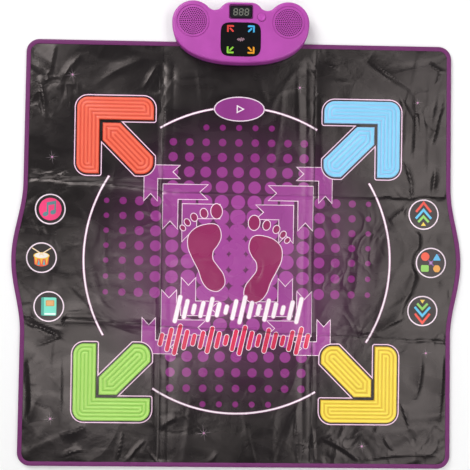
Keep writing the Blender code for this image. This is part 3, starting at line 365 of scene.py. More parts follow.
def wing_edge(inset):
    """The mat's edge on the right, from crease to crease."""
    low_x = side_x(MAT_BOTTOM + CORNER_RADIUS) - CORNER_RADIUS
    high_x = side_x(MAT_TOP - CORNER_RADIUS) - CORNER_RADIUS
    low_y, high_y = MAT_BOTTOM + CORNER_RADIUS, MAT_TOP - CORNER_RADIUS
    points = [(FOLD_X, MAT_BOTTOM + inset)]
    points += arc(low_x, low_y, CORNER_RADIUS - inset, -90.0, 0.0, 10)
    for step in range(33):
        y = PRINT_Y + BULGE_REACH * (step / 16 - 1.0)
        points.append((side_x(y, inset), y))
    points += arc(high_x, high_y, CORNER_RADIUS - inset, 0.0, 90.0, 10)
    points.append((FOLD_X, MAT_TOP - inset))
    return points


def mat_outline(inset):
    right = wing_edge(inset)
    return right + mirrored(right)


def from_corner(quarter, points):
    """Points counted inwards from an arrow's outer corner, as places on the mat."""
    side, end = QUARTERS[quarter]
    return [(side * (ARROW_EDGE_X - u), PRINT_Y + end * (ARROW_EDGE_Y - v)) for u, v in points]


def to_quarter(quarter, outline):
    """An arrow's outline on the mat, which runs anticlockwise in every quarter."""
    return from_corner(quarter, outline)[::math.prod(QUARTERS[quarter])]


def chevron_outline(grow=0.0, steps=10):
    """The L-shaped head of an arrow."""
    far, near = ARROW_SIZE + grow, ARM_WIDTH + grow
    end = ARROW_SIZE - CORNER_ROUND
    points = arc(CORNER_ROUND, CORNER_ROUND, CORNER_ROUND + grow, 180.0, 270.0, steps)
    points += arc(end, CORNER_ROUND, CORNER_ROUND + grow, 270.0, 360.0, steps)
    points += [(far, near), (near, near), (near, far)]
    return points + arc(CORNER_ROUND, end, CORNER_ROUND + grow, 90.0, 180.0, steps)


def stem_outline(grow=0.0, steps=10):
    """The diagonal stem of an arrow."""
    low, high = ARM_WIDTH + STEM_GAP - grow, ARROW_SIZE + grow
    leg = STEM_LEG + grow * math.sqrt(2.0)
    tip = ARROW_SIZE - TIP_ROUND
    points = [(low, low), (low + leg, low), (high, high - leg)]
    points += arc(tip, tip, TIP_ROUND + grow, 0.0, 90.0, steps)
    return points + [(high - leg, high), (low, low + leg)]


def arrow_outline(grow):
    """A line round a whole arrow, its outer corners rounded by the distance."""
    tip = ARROW_SIZE - TIP_ROUND
    edge = ARROW_SIZE - STEM_LEG
    notch = ARM_WIDTH + STEM_LEG + grow * (1.0 + math.sqrt(2.0))
    half = arc(ARROW_SIZE - CORNER_ROUND, CORNER_ROUND, CORNER_ROUND + grow, 270.0, 360.0, 12)
    half += arc(ARROW_SIZE, ARM_WIDTH, grow, 0.0, 90.0, 5)
    half += [(notch, ARM_WIDTH + grow)]
    half += arc(ARROW_SIZE, edge, grow, -45.0, 0.0, 3)
    half += arc(tip, tip, TIP_ROUND + grow, 0.0, 45.0, 6)
    back = [(v, u) for u, v in reversed(half[:-1])]
    elbow = arc(CORNER_ROUND, CORNER_ROUND, CORNER_ROUND + grow, 180.0, 270.0, 12)
    return elbow + half + back


def start_outline(grow=0.0):
    return oval(0.0, START_Y, START_WIDTH / 2 + grow, START_DEPTH / 2 + grow, 64)


# Flat cutting

def inside(loop, points):
    """Which points lie inside a closed outline."""
    x, y = points[:, 0], points[:, 1]
    odd = np.zeros(len(points), bool)
    ax, ay = loop[-1]
    for bx, by in loop:
        if ay != by:
            odd ^= ((ay > y) != (by > y)) & (x < (bx - ax) * (y - ay) / (by - ay) + ax)
        ax, ay = bx, by
    return odd


def paint(centres, layers, start=0):
    """The last layer that each point lies in: layers are pairs of outline and number."""
    numbers = np.full(len(centres), start)
    for loop, number in layers:
        corners = np.array(loop)
        near = np.nonzero(((centres >= corners.min(0)) & (centres <= corners.max(0))).all(1))[0]
        numbers[near[inside(loop, centres[near])]] = number
    return numbers


def honeycomb(low, high, spacing):
    """Evenly spread points over a box."""
    points = []
    row_height = spacing * math.sqrt(0.75)
    for row in range(int((high[1] - low[1]) / row_height) + 1):
        shift = spacing / 2 if row % 2 else 0.0
        count = int((high[0] - low[0] - shift) / spacing) + 1
        points += [(low[0] + shift + column * spacing, low[1] + row * row_height)
                   for column in range(count)]
    return points


def cut_flat(loops, lines, fill, keep_off):
    """Triangles between outlines and lines, with fill points where they don't crowd."""
    points, edges = [], []
    for line, ahead in [(loop, 0) for loop in loops] + [(line, 1) for line in lines]:
        first, count = len(points), len(line)
        points += line
        edges += [(first + index, first + (index + 1) % count) for index in range(count - ahead)]
    tree = kdtree.KDTree(len(points))
    for index, (x, y) in enumerate(points):
        tree.insert((x, y, 0.0), index)
    tree.balance()
    points += [(x, y) for x, y in fill if tree.find((x, y, 0.0))[2] > keep_off]
    cut = delaunay_2d_cdt([Vector(point) for point in points], edges, [], 0, 1e-7, False)
    places = np.array([(vert.x, vert.y) for vert in cut[0]])
    triangles = np.array(cut[2])
    return places, triangles, places[triangles].mean(1)


def smooth_piece(name, mesh):
    """A new piece with smooth shading and sharp edges at steep angles."""
    mesh.shade_smooth()
    mesh.set_sharp_from_angle(angle=math.radians(50.0))
    piece = bpy.data.objects.new(name, mesh)
    bpy.context.scene.collection.objects.link(piece)
    return piece


def closed_sheet(name, places, triangles, top, low, numbers=None, marks=()):
    """A closed solid over flat triangles, from heights below to heights above.

    Numbers are the upper triangles' material slots. A mark is an attribute's name, its
    value at each place above, and the share of that value that the place has below.
    """
    used, flat = np.unique(triangles, return_inverse=True)
    faces = flat.reshape(-1, 3)
    count = len(used)
    points = [np.column_stack((places[used], np.broadcast_to(height, len(places))[used]))
              for height in (top, low)]
    sides = np.concatenate((faces[:, [0, 1]], faces[:, [1, 2]], faces[:, [2, 0]]))
    keys = sides[:, 0] * count + sides[:, 1]
    rim = sides[~np.isin(keys, sides[:, 1] * count + sides[:, 0])]
    walls = np.column_stack((rim + count, rim[:, ::-1]))
    under = faces[:, ::-1] + count
    mesh = bpy.data.meshes.new(name)
    mesh.from_pydata(np.concatenate(points).tolist(), [],
                     faces.tolist() + under.tolist() + walls.tolist())
    if numbers is not None:
        slots = np.concatenate((numbers, np.zeros(len(under) + len(walls), int)))
        mesh.polygons.foreach_set("material_index", slots.astype(np.int32))
    for label, values, share in marks:
        mark = mesh.attributes.new(label, 'FLOAT', 'POINT')
        mark.data.foreach_set("value", np.concatenate((values[used], share * values[used])))
    return smooth_piece(name, mesh)


def disc_places():
    """Each round disc with its place on the mat."""
    return {name: (x, PRINT_Y + y) for name, (x, y) in DISCS.items()}


def enlist(piece, finishes, slot, body=None, stands_for=None):
    """Gives a piece its finishes and its body, and hides the node that it replaces. The slot is not
    used.
    """
    for finish in finishes:
        piece.data.materials.append(finish)
    if stands_for:
        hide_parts(stands_for)
    if body:
        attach(piece, body)


# Shader values

class Wire:
    """An output of a shader node. A sign between wires or numbers adds a maths node."""

    def __init__(self, made, key=0):
        self.made, self.tree, self.socket = made, made.id_data, made.outputs[key]

    def __getitem__(self, key):
        """Another output of the same node."""
        return Wire(self.made, key)

    def maths(self, operation, *values):
        return node(self.tree, "Math", enumerate((self, *values)), operation=operation)

    __add__ = partialmethod(maths, 'ADD')
    __sub__ = partialmethod(maths, 'SUBTRACT')
    __mul__ = partialmethod(maths, 'MULTIPLY')
    __truediv__ = partialmethod(maths, 'DIVIDE')
    __abs__ = partialmethod(maths, 'ABSOLUTE')


def put(socket, value):
    """Sets a socket, or links it to a wire."""
    if isinstance(value, Wire):
        value.tree.links.new(value.socket, socket)
    else:
        socket.default_value = (*linear(value)[:3], 1.0) if socket.type == 'RGBA' else value


def node(tree, kind, inputs=(), **settings):
    """The first output of a new shader node with its settings and inputs."""
    made = tree.nodes.new("ShaderNode" + kind)
    for name, value in settings.items():
        setattr(made, name, value)
    for key, value in dict(inputs).items():
        put(made.inputs[key], value)
    return Wire(made)


def scaled(colour, *shares):
    """A colour times one share, or times a share for each of its three parts."""
    return tuple(part * share for part, share in zip(linear(colour), shares * (3 // len(shares))))


def blend_colour(share, first, second):
    return node(share.tree, "Mix", {0: share, 6: first, 7: second}, data_type='RGBA')[2]


def spread(value, low, high, to_low=0.0, to_high=1.0):
    """A value carried smoothly from one range to another."""
    return node(value.tree, "MapRange", enumerate((value, low, high, to_low, to_high)),
                interpolation_type='SMOOTHSTEP')


def grain(place, scale, detail=2.0, distortion=0.0):
    """A noise value at a scale in cells a metre."""
    return node(place.tree, "TexNoise", {"Vector": place, "Scale": scale, "Detail": detail,
                                         "Distortion": distortion})


def stretched(place, factors, turn=0.0):
    return node(place.tree, "Mapping", {"Vector": place, "Scale": factors,
                                        "Rotation": (0.0, 0.0, math.radians(turn))})


def bumped(height, distance=1.0, **inputs):
    return node(height.tree, "Bump", {"Height": height, "Distance": distance, **inputs})


def distance_of(x, y):
    return (x * x + y * y).maths('SQRT')


def attribute(tree, name):
    return node(tree, "Attribute", attribute_name=name)["Fac"]


# Effects that several finishes share. Each one becomes a node group.

def loose_vinyl(place, crumple, gloss):
    """Loose vinyl: long soft crumples, fine ones across them and a faint grain."""
    slow = grain(stretched(place, (1.0, 0.6, 1.0), 28.0), 8.0, 1.5, 1.0)
    cross = grain(stretched(place, (0.6, 1.0, 1.0), -34.0), 19.0, 1.5, 0.9)
    sharp = abs(grain(stretched(place, (1.0, 0.7, 1.0), 15.0), 24.0, 1.0, 0.8) - 0.5) * 6.0
    where = spread(grain(place, 6.0, 1.0), 0.54, 0.70)
    height = cross * 0.15 - abs(slow - 0.5) * 0.40 + grain(place, 4.5, 0.0, 0.4) * 1.6
    height = height - sharp.maths('MINIMUM', 1.0) * where * 0.14
    height = height + grain(place, 70.0, 2.0, 0.6) * 0.03 + grain(place, 1400.0) * 0.004
    height = height * 0.0065 + attribute(place.tree, "relief")
    return {"Roughness": spread(cross, 0.3, 0.7) * 0.12 + gloss,
            "Shade": spread(slow, 0.25, 0.75),
            # The crease mark, which paints shade into the creases' valleys and a highlight onto
            # their ridges
            "Crease": attribute(place.tree, "crease"),
            "Normal": bumped(height, Strength=crumple)}


def moulded_surface(place, texture, gloss, cells):
    """Moulded plastic: a spark-eroded grain and slow changes of gloss and shade."""
    slow = grain(place, 28.0, 3.0)
    return {"Roughness": slow * 0.10 + gloss, "Shade": spread(slow, 0.3, 0.7),
            "Normal": bumped(grain(place, cells), 0.00012, Strength=texture)}


def woven_threads(place, threads, depth):
    """A plain weave of threads along X and Y."""
    axes = node(place.tree, "SeparateXYZ", {"Vector": place})
    warp, weft = ((axes[axis] * threads).maths('SINE') for axis in (0, 1))
    height = warp * weft * 0.5 + 0.5
    height = grain(place, 300.0) * 0.5 + height
    return {"Shade": height, "Normal": bumped(height, 0.0003, Strength=depth)}


EFFECTS = {
    "loose vinyl": (loose_vinyl, {"Crumple": 1.0, "Gloss": 0.22}),
    "moulded surface": (moulded_surface, {"Grain": 0.3, "Gloss": 0.35, "Cells": 1800.0}),
    "woven threads": (woven_threads, {"Threads": 1400.0, "Depth": 0.5}),
}


def new_group(name):
    """The node group of an effect, with its inputs' defaults."""
    build, inputs = EFFECTS[name]
    tree = bpy.data.node_groups.new(name, 'ShaderNodeTree')
    for label, default in inputs.items():
        tree.interface.new_socket(name=label, in_out='INPUT',
                                  socket_type='NodeSocketFloat').default_value = default
    given = Wire(tree.nodes.new('NodeGroupInput'))
    outputs = build(node(tree, "TexCoord")["Object"], *(given[label] for label in inputs))
    for label in outputs:
        kind = 'NodeSocketVector' if label == "Normal" else 'NodeSocketFloat'
        tree.interface.new_socket(name=label, in_out='OUTPUT', socket_type=kind)
    result = tree.nodes.new('NodeGroupOutput')
    for label, value in outputs.items():
        put(result.inputs[label], value)
    return tree


def new_material(name, effect=None, **values):
    """A material, its shader's inputs and its effect, which gives roughness and normal."""
    material = bpy.data.materials.new(name)
    material.use_nodes = True
    inputs = material.node_tree.nodes["Principled BSDF"].inputs
    if effect is None:
        return material, inputs, None
    group = bpy.data.node_groups.get(effect) or new_group(effect)
    surface = node(material.node_tree, "Group", values, node_tree=group)
    for label in ("Roughness", "Normal"):
        if label in surface.made.outputs:
            put(inputs[label], surface[label])
    return material, inputs, surface


def shaded(surface, colour, share):
    """A colour that is darker by a share in places."""
    return blend_colour(surface["Shade"], scaled(colour, share), colour)


def creased(surface, colour):
    """A colour darker in the creases' valleys (painted shade) and paler on their ridges (painted
    highlight and whitening wear).
    """
    # Painted shade takes the valleys towards near-black; painted highlight takes the ridges towards
    # a warm pale grey.
    valley, ridge = ((surface["Crease"] * share).maths('MAXIMUM', 0.0) for share in (-0.75, 0.07))
    return blend_colour(ridge, blend_colour(valley, colour, (0.004, 0.003, 0.004)),
                        (0.42, 0.38, 0.38))


def vinyl_finish(name, colour, gloss=0.22, crumple=1.0):
    """Printed or plain vinyl of one colour."""
    material, inputs, surface = new_material(name, "loose vinyl", Gloss=gloss, Crumple=crumple)
    # With painted shade in the creases' valleys and painted highlight on their ridges
    put(inputs["Base Color"], creased(surface, shaded(surface, colour, 0.82)))
    put(inputs["Specular Tint"], WARM_SHEEN)
    return material


def moulded_finish(name, colour, gloss, texture, cells=1800.0, metal=0.0):
    """Moulded plastic, rubber or plated metal of one colour."""
    material, inputs, surface = new_material(name, "moulded surface", Gloss=gloss, Grain=texture,
                                             Cells=cells)
    put(inputs["Base Color"], shaded(surface, colour, 0.9))
    put(inputs["Metallic"], metal)
    return material


def tape_finish():
    """Finely woven edge tape."""
    material, inputs, surface = new_material("edge_tape", "woven threads", Threads=2600.0)
    put(inputs["Base Color"], shaded(surface, "701c66", 0.6))
    put(inputs["Roughness"], 0.65)
    put(inputs["Sheen Weight"], 0.05)
    return material


def underside_finish():
    """Dark cloth, softly creased, with a grid of small non-slip dots."""
    material, inputs, surface = new_material("underside_cloth", "woven threads", Threads=1100.0,
                                             Depth=0.6)
    tree = material.node_tree
    place = node(tree, "TexCoord")["Object"]
    pitch, radius = 0.012, 0.0024
    cell = node(tree, "VectorMath", {0: place, "Scale": 1 / pitch}, operation='SCALE')
    part = node(tree, "VectorMath", {0: cell}, operation='FRACTION')
    axes = node(tree, "SeparateXYZ", {"Vector": part})
    away = distance_of(axes[0] - 0.5, axes[1] - 0.5)
    dot = spread(away, radius / pitch + 0.04, radius / pitch - 0.04)
    slow = grain(stretched(place, (1.0, 0.5, 1.0), 20.0), 7.0, 1.5, 0.8)
    cloth = blend_colour(surface["Shade"], "222124", "323135")
    put(inputs["Base Color"], blend_colour(dot, cloth, "19181a"))
    put(inputs["Roughness"], dot * -0.35 + 0.85)
    put(inputs["Normal"], bumped(slow * 0.006 + dot * 0.0004, Normal=surface["Normal"]))
    return material


def halftone_finish(settings):
    """Black vinyl printed with dots that grow towards the middle of a purple glow."""
    material, inputs, surface = new_material("cover_black", "loose vinyl", Gloss=0.21)
    tree = material.node_tree
    place = node(tree, "SeparateXYZ", {"Vector": node(tree, "TexCoord")["Object"]})
    x, y = place[0], place[1] - PRINT_Y
    lifted = y + DOT_SHIFT
    above = lifted.maths('GREATER_THAN', 0.0)
    row_pitch = above * (DOT_ROW_ABOVE - DOT_ROW_BELOW) + DOT_ROW_BELOW
    across, along = x / DOT_COLUMN, lifted / row_pitch
    column, row = across.maths('ROUND'), along.maths('ROUND')
    away = distance_of((across - column) * DOT_COLUMN, (along - row) * row_pitch)
    columns, rows = abs(column), abs(row)
    by_column = columns * -DOT_LOSS_COLUMN + DOT_LARGEST_COLUMN
    radius = by_column.maths('MINIMUM', rows * -DOT_LOSS_ROW + DOT_LARGEST_ROW)

    def within(value, most):
        return value.maths('LESS_THAN', most + 0.5)

    middle = within(columns, 4) * within(rows, 8)
    sides = within(columns, 8) * within(row, 4) * row.maths('GREATER_THAN', -2.5)
    ends = within(columns, 2) * within(rows, 9)
    printed = middle.maths('MAXIMUM', sides).maths('MAXIMUM', ends)
    dot = spread(radius - away, -0.0007, 0.0007) * printed
    glow = spread(distance_of(x, y), 0.34, 0.03)
    purple = settings.purple
    ground = blend_colour(glow * 0.8, shaded(surface, settings.vinyl, 0.55),
                          scaled(purple, 0.46, 0.64, 0.42))
    ink = blend_colour(spread(radius, 0.006, 0.015), scaled(purple, 0.58, 0.28, 0.52), purple)
    # With painted shade in the creases' valleys and painted highlight on their ridges
    put(inputs["Base Color"], creased(surface, blend_colour(dot, ground, ink)))
    put(inputs["Specular Tint"], WARM_SHEEN)
    return material


def pad_finish(name, ridge, groove, start):
    """Embossed vinyl whose grooves have a second tone, from a share of their depth on."""
    material, inputs, surface = new_material(name, "loose vinyl", Gloss=0.42, Crumple=0.12)
    depth = attribute(material.node_tree, "groove")
    colour = blend_colour(spread(depth, start, start + 0.35), ridge, groove)
    put(inputs["Base Color"],
        blend_colour(surface["Shade"] * 0.25, colour, scaled(ridge, 0.93)))
    return material


def smoked_finish(name, colour, reach):
    """A dark gloss window with faint wipe marks."""
    material, inputs, _ = new_material(name)
    place = node(material.node_tree, "TexCoord")["Object"]
    smear = spread(grain(stretched(place, (1.0, 3.0, 1.0), 30.0), 60.0, 3.0), 0.35, 0.75)
    put(inputs["Base Color"], blend_colour(smear, colour, scaled(colour, 1.15)))
    put(inputs["Roughness"], smear * 0.08 + 0.07)
    put(inputs["Alpha"], reach)
    return material


def lens_finish(name, colour):
    """A clear coloured lens with a faint glow."""
    material, inputs, surface = new_material(name, "moulded surface", Gloss=0.12, Grain=0.05)
    tone = shaded(surface, colour, 0.75)
    put(inputs["Base Color"], tone)
    put(inputs["Emission Color"], tone)
    put(inputs["Emission Strength"], 0.12)
    return material


# Cover print. Numbers are the cover's material slots.

PLAIN, OUTLINE, WHITE, PURPLE, FOOT, BARS, SPARKLE, PINK_EDGE = range(8)


def on_mat(points):
    return [(x, PRINT_Y + y) for x, y in points]


def bracket(corner, arm, width, side, end):
    """An L-shaped frame corner with notched ends."""
    far, near = corner, corner - width
    tip = corner - arm
    notch = width * 0.55
    points = [(far, far), (tip, far), (tip + notch, far - width / 2), (tip, near),
              (near, near), (near, tip), (far - width / 2, tip + notch), (far, tip)]
    placed = [(side * x, end * y) for x, y in points]
    return placed if side * end > 0 else placed[::-1]


def edged(loop, line, fill):
    """A printed shape and the pale line round it."""
    return [(on_mat(grown(loop, line)), OUTLINE), (on_mat(loop), fill)]


def bracket_layers():
    """Nested frame corners round the middle of the print."""
    layers = []
    for corner, arm, width in ((0.1880, 0.070, 0.026), (0.1500, 0.088, 0.029),
                               (0.1110, 0.074, 0.028)):
        for side, end in QUARTERS.values():
            layers += edged(bracket(corner, arm, width, side, end), 0.0015, PURPLE)
    return layers


def circle_layers():
    """The broken white circle round the print, with a pink edge."""
    layers = []
    for start, end in ((147.4, 209.8), (-31.8, 31.0), (59.3, 80.6), (99.4, 120.9),
                       (237.3, 301.3)):
        steps = max(8, int((end - start) / 1.5))
        for outer, inner, spill, number in ((0.3088, 0.3044, 0.1, PINK_EDGE),
                                            (0.3081, 0.3051, 0.0, WHITE)):
            band, back = (arc(0.0, 0.0, radius, start - spill, end + spill, steps)
                          for radius in (outer, inner))
            layers.append((on_mat(band + back[::-1]), number))
    return layers


def foot_layers():
    """Two plain footprints, the right one a little lower."""
    sole = smooth_loop([
        (0.0285, 0.050), (0.0285, 0.034), (0.0205, 0.020), (0.0100, 0.008),
        (0.0080, -0.008), (0.0165, -0.024), (0.0255, -0.041), (0.0255, -0.060),
        (0.0110, -0.0715), (-0.006, -0.066), (-0.017, -0.050), (-0.0225, -0.026),
        (-0.0315, -0.002), (-0.038, 0.022), (-0.034, 0.045), (-0.0165, 0.059),
        (0.007, 0.063), (0.022, 0.060)])
    toes = ((0.026, 0.0870, 0.0110, 0.0145, -4), (0.0005, 0.0856, 0.0070, 0.0094, 6),
            (-0.020, 0.0800, 0.0060, 0.0078, 16), (-0.0346, 0.0714, 0.0050, 0.0070, 26),
            (-0.0447, 0.0612, 0.0042, 0.0058, 36))
    shapes = [sole] + [turned(oval(0.0, 0.0, wide, tall, 28), x, y, lean)
                       for x, y, wide, tall, lean in toes]
    layers = []
    for x, y, lean in ((-0.058, 0.008, 7.0), (0.048, -0.014, -7.0)):
        for shape in shapes:
            layers += edged(turned(shape if x < 0.0 else mirrored(shape), x, y, lean), 0.0016,
                            FOOT)
    return layers


def bar(x, y, width, height, grow=0.0):
    """A bar with round ends that leans to the right."""
    radius = width / 2 + grow
    reach = height / 2 - width / 2
    lean = 0.22 * reach
    return (arc(x + lean, y + reach, radius, -12.0, 168.0, 8)
            + arc(x - lean, y - reach, radius, 168.0, 348.0, 8))


def level_layers():
    """Two rows of sound-level bars."""
    rows = (
        (-0.118, -0.099, 0.0078, WHITE, PINK_EDGE,
         (56, 40, 22, 34, 50, 30, 20, 42, 58, 36, 24, 46, 32, 20, 40, 54)),
        (-0.150, -0.160, 0.0082, BARS, OUTLINE,
         (26, 48, 62, 40, 24, 36, 54, 34, 22, 44, 60, 38, 26, 50, 34, 22, 42, 56, 30)),
    )
    return [(on_mat(bar(start + index * BAR_PITCH, y, width, height / 1000, grow)), number)
            for start, y, width, fill, edge, heights in rows
            for index, height in enumerate(heights)
            for grow, number in ((0.0013, edge), (0.0, fill))]


def sparkle_layers():
    """Small faint stars scattered over the black."""
    layers = []
    for x, y, reach in ((-0.334, 0.366, 0.0115), (-0.372, 0.201, 0.0105), (0.121, 0.348, 0.0085),
                        (0.359, 0.322, 0.0080), (-0.368, -0.320, 0.0100), (-0.062, -0.346, 0.0125),
                        (0.255, -0.370, 0.0095), (0.382, -0.182, 0.0080)):
        rays = [1.4 * reach * share for share in (1.0, 0.11, 0.62, 0.11)] * 4
        star = [(ray * px, ray * py) for ray, (px, py) in zip(rays, circle(0.0, 0.0, 1.0, 16))]
        layers += [(on_mat(turned(star, x, y, 8.0)), SPARKLE),
                   (on_mat(circle(x, y, 0.0019, 10)), PINK_EDGE)]
    return layers


def arrow_layers():
    """The pale line round each arrow, with black between it and the pads."""
    lines = ((0.0053, PINK_EDGE), (0.0049, OUTLINE), (0.0034, PINK_EDGE), (0.0030, PLAIN))
    return [(to_quarter(quarter, arrow_outline(grow)), number)
            for quarter in QUARTERS for grow, number in lines]


# Layers of the mat

def pad_holes():
    return [to_quarter(quarter, outline(SLIDE_FIT)) for quarter in QUARTERS
            for outline in (chevron_outline, stem_outline)]


def window_holes():
    low, high = -WINDOW_MARGIN, ARROW_SIZE + WINDOW_MARGIN
    return [to_quarter(quarter, rectangle(low, low, high, high)) for quarter in QUARTERS]


def disc_holes(margin, steps):
    return [circle(x, y, DISC_RADIUS + margin, steps) for x, y in disc_places().values()]


def fitting_holes(screw_radius, slot):
    """Holes under the console for its front screws and the printed tail."""
    holes = [circle(*middle_of(f"case_screw_front_{side}"), screw_radius, 16)
             for side in ("left", "right")]
    if slot:
        _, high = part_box("flex_tail")
        half = high[0] + SLIDE_FIT
        holes.append(rectangle(-half, high[1] - slot, half, high[1] - TAIL_RISE))
    return holes


def bend_lines(spacing):
    """The creases and the narrow columns of points beside them."""
    low, high = MAT_BOTTOM + LAYER_INSET, MAT_TOP - LAYER_INSET
    rows = int((high - low) / spacing)
    heights = [low + (high - low) * row / rows for row in range(rows + 1)]
    steps = int(BEND_WIDTH / BEND_STEP) + 2
    return [[(side * (FOLD_X + step * BEND_STEP), y) for y in heights]
            for side in (-1, 1) for step in range(steps)]


def cut_layer(spacing, holes, prints=()):
    """One layer over the whole mat: places, triangles and centres, its holes left out."""
    outline = dense(mat_outline(LAYER_INSET), spacing)
    holes = [dense(hole, spacing) for hole in holes]
    prints = [dense(loop, spacing) for loop in prints]
    reach, free = 0.46, 0.002
    fill = [point for point in honeycomb((-reach, MAT_BOTTOM), (reach, MAT_TOP), spacing)
            if not FOLD_X - free < abs(point[0]) < FOLD_X + BEND_WIDTH + BEND_STEP + free]
    places, triangles, centres = cut_flat([outline] + holes + prints, bend_lines(spacing), fill,
                                          min(0.0009, spacing / 4))
    kept = inside(outline, centres) & (paint(centres, [(hole, 1) for hole in holes]) == 0)
    return places, triangles[kept], centres[kept]


def split_layer(name, cut, top, low, numbers=None, marks=()):
    """A layer's three columns as closed solids, each with its side and its cloth's area."""
    places, triangles, centres = cut
    for column, chosen in (("left", centres[:, 0] < -FOLD_X), ("right", centres[:, 0] > FOLD_X),
                           ("centre", abs(centres[:, 0]) <= FOLD_X)):
        piece = closed_sheet(f"{name}_{column}", places, triangles[chosen], top, low,
                             None if numbers is None else numbers[chosen], marks)
        edges = places[triangles[chosen]][:, 1:] - places[triangles[chosen]][:, :1]
        cloth = abs(edges[:, 0, 0] * edges[:, 1, 1] - edges[:, 0, 1] * edges[:, 1, 0]).sum() / 2
        yield piece, column, float(cloth)


def hang(piece, column):
    """Fixes a layer's column: the centre rides on the centre body, and a wing's place is baked into
    its mesh.
    """
    if column == "centre":
        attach(piece, "centre")
        return
    side = -1 if column == "left" else 1
    side * FOLD_X
    side * (FOLD_X + BEND_WIDTH)
    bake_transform(piece)


def cut_size(column):
    """The flat width and length of a column of cloth."""
    width = 2 * FOLD_X if column == "centre" else side_x(PRINT_Y, LAYER_INSET) - FOLD_X
    return width, MAT_TOP - MAT_BOTTOM - 2 * LAYER_INSET


def ease(value, low, high):
    """0 at low and 1 at high, turning smoothly between them."""
    share = np.clip((value - low) / (high - low), 0.0, 1.0)
    return share * share * (3.0 - 2.0 * share)


def calm(x, y):
    """Where the cover may wrinkle: 0 by the pads, discs, edges and console, and 1 elsewhere."""
    share = np.ones(len(x))
    for side, end in QUARTERS.values():
        u = ARROW_EDGE_X - side * x
        v = ARROW_EDGE_Y - end * (y - PRINT_Y)
        out = np.maximum(np.maximum(-u, u - ARROW_SIZE), np.maximum(-v, v - ARROW_SIZE))
        share *= ease(out, 0.002, 0.016)
    for disc_x, disc_y in disc_places().values():
        share *= ease(np.hypot(x - disc_x, y - disc_y), DISC_RADIUS + 0.001, DISC_RADIUS + 0.012)
    start = np.hypot(x / (START_WIDTH / 2), (y - START_Y) / (START_DEPTH / 2))
    share *= ease(start, 1.03, 1.35)
    console_x, console_y = 0.150, 0.062
    share *= ease(np.hypot(x / console_x, (y - MAT_TOP) / console_y), 0.98, 1.3)
    share *= ease(y, MAT_BOTTOM + 0.004, MAT_BOTTOM + 0.016)
    share *= ease(MAT_TOP - y, 0.004, 0.016)
    half = np.array([side_x(value) for value in y])
    return share * ease(half - abs(x), 0.005, 0.015)


# Broad folds in millimetres from the print's middle: start, end, bow, the width of the gentle
# side, which is on the left, the width of the steep side, and the rise
FOLDS = (
    (258, 406, 351, 345, 0, 40, 9, 3.0), (353, 355, 353, 201, 3, 35, 10, 2.2),
    (386, 229, 414, 341, 0, 30, 9, 2.0), (381, 402, 419, 384, -4, 9, 4, 1.3),
    (403, 392, 395, 359, 2, 7, 4, 1.1), (137, 420, 151, 392, 2, 9, 4, 1.3),
    (157, 396, 200, 384, 3, 9, 4, 1.1), (172, 363, 228, 359, 0, 12, 7, 0.7),
    (-381, 363, -368, 430, 0, 35, 8, 1.7), (-366, 337, -316, 408, 4, 13, 12, 1.3),
    (-289, 347, -192, 400, 5, 20, 14, 1.3), (-194, 337, -157, 396, 3, 10, 7, 1.0),
    (-401, 363, -387, 266, 3, 10, 6, 1.7), (-425, 177, -320, 164, -4, 7, 5, 1.1),
    (-364, 158, -334, 175, 2, 6, 4, 1.0), (332, 207, 351, 140, 3, 11, 7, 1.5),
    (396, 193, 389, 134, 2, 13, 8, 1.6), (346, 152, 352, 130, 0, 6, 4, 1.0),
    (316, -128, 352, 120, -28, 38, 12, 2.8), (351, 118, 304, 83, 0, 30, 10, 1.7),
    (279, -144, 350, -108, 4, 25, 9, 2.1), (-415, -189, -409, -327, 4, 45, 12, 2.8),
    (-348, -337, -348, -185, 0, 30, 8, 1.5), (-296, -333, -349, -351, 4, 22, 6, 2.1),
    (-346, -398, -301, -382, 4, 10, 5, 1.5), (-234, -402, -224, -345, 0, 9, 5, 1.4),
    (-216, -408, -178, -361, 3, 9, 5, 1.5), (-174, -374, -147, -412, -3, 8, 4, 1.4),
    (-153, -339, -117, -315, 2, 15, 9, 1.3), (-50, -408, -33, -382, 0, 10, 6, 1.4),
    (-429, -128, -334, -166, 5, 10, 7, 1.7), (-401, -175, -332, -144, -3, 13, 6, 1.3),
    (243, -146, 281, -140, 2, 9, 5, 1.4), (362, -276, 373, -185, -4, 25, 9, 2.1),
    (411, -327, 419, -175, 0, 35, 8, 2.4), (330, -278, 352, -339, 2, 11, 6, 1.4),
    (301, -349, 320, -378, -4, 9, 5, 1.5), (172, -353, 253, -402, 4, 30, 8, 2.0),
    (123, -302, 129, -414, -2, 8, 6, 1.5), (153, -321, 159, -412, 2, 7, 5, 1.5),
    (141, -347, 134, -412, 0, 6, 4, 1.1), (259, -398, 413, -388, 6, 15, 6, 1.4),
    (-360, 130, -368, -83, 0, 30, 20, 1.5), (-96, 400, -76, 323, 4, 15, 10, 1.0),
    (60, 330, 125, 345, 4, 16, 9, 0.9), (236, 60, 228, -95, 10, 24, 16, 1.2),
    (-262, 80, -250, -70, -8, 22, 18, 1.1), (398, 60, 404, -70, 4, 12, 10, 1.4),
)


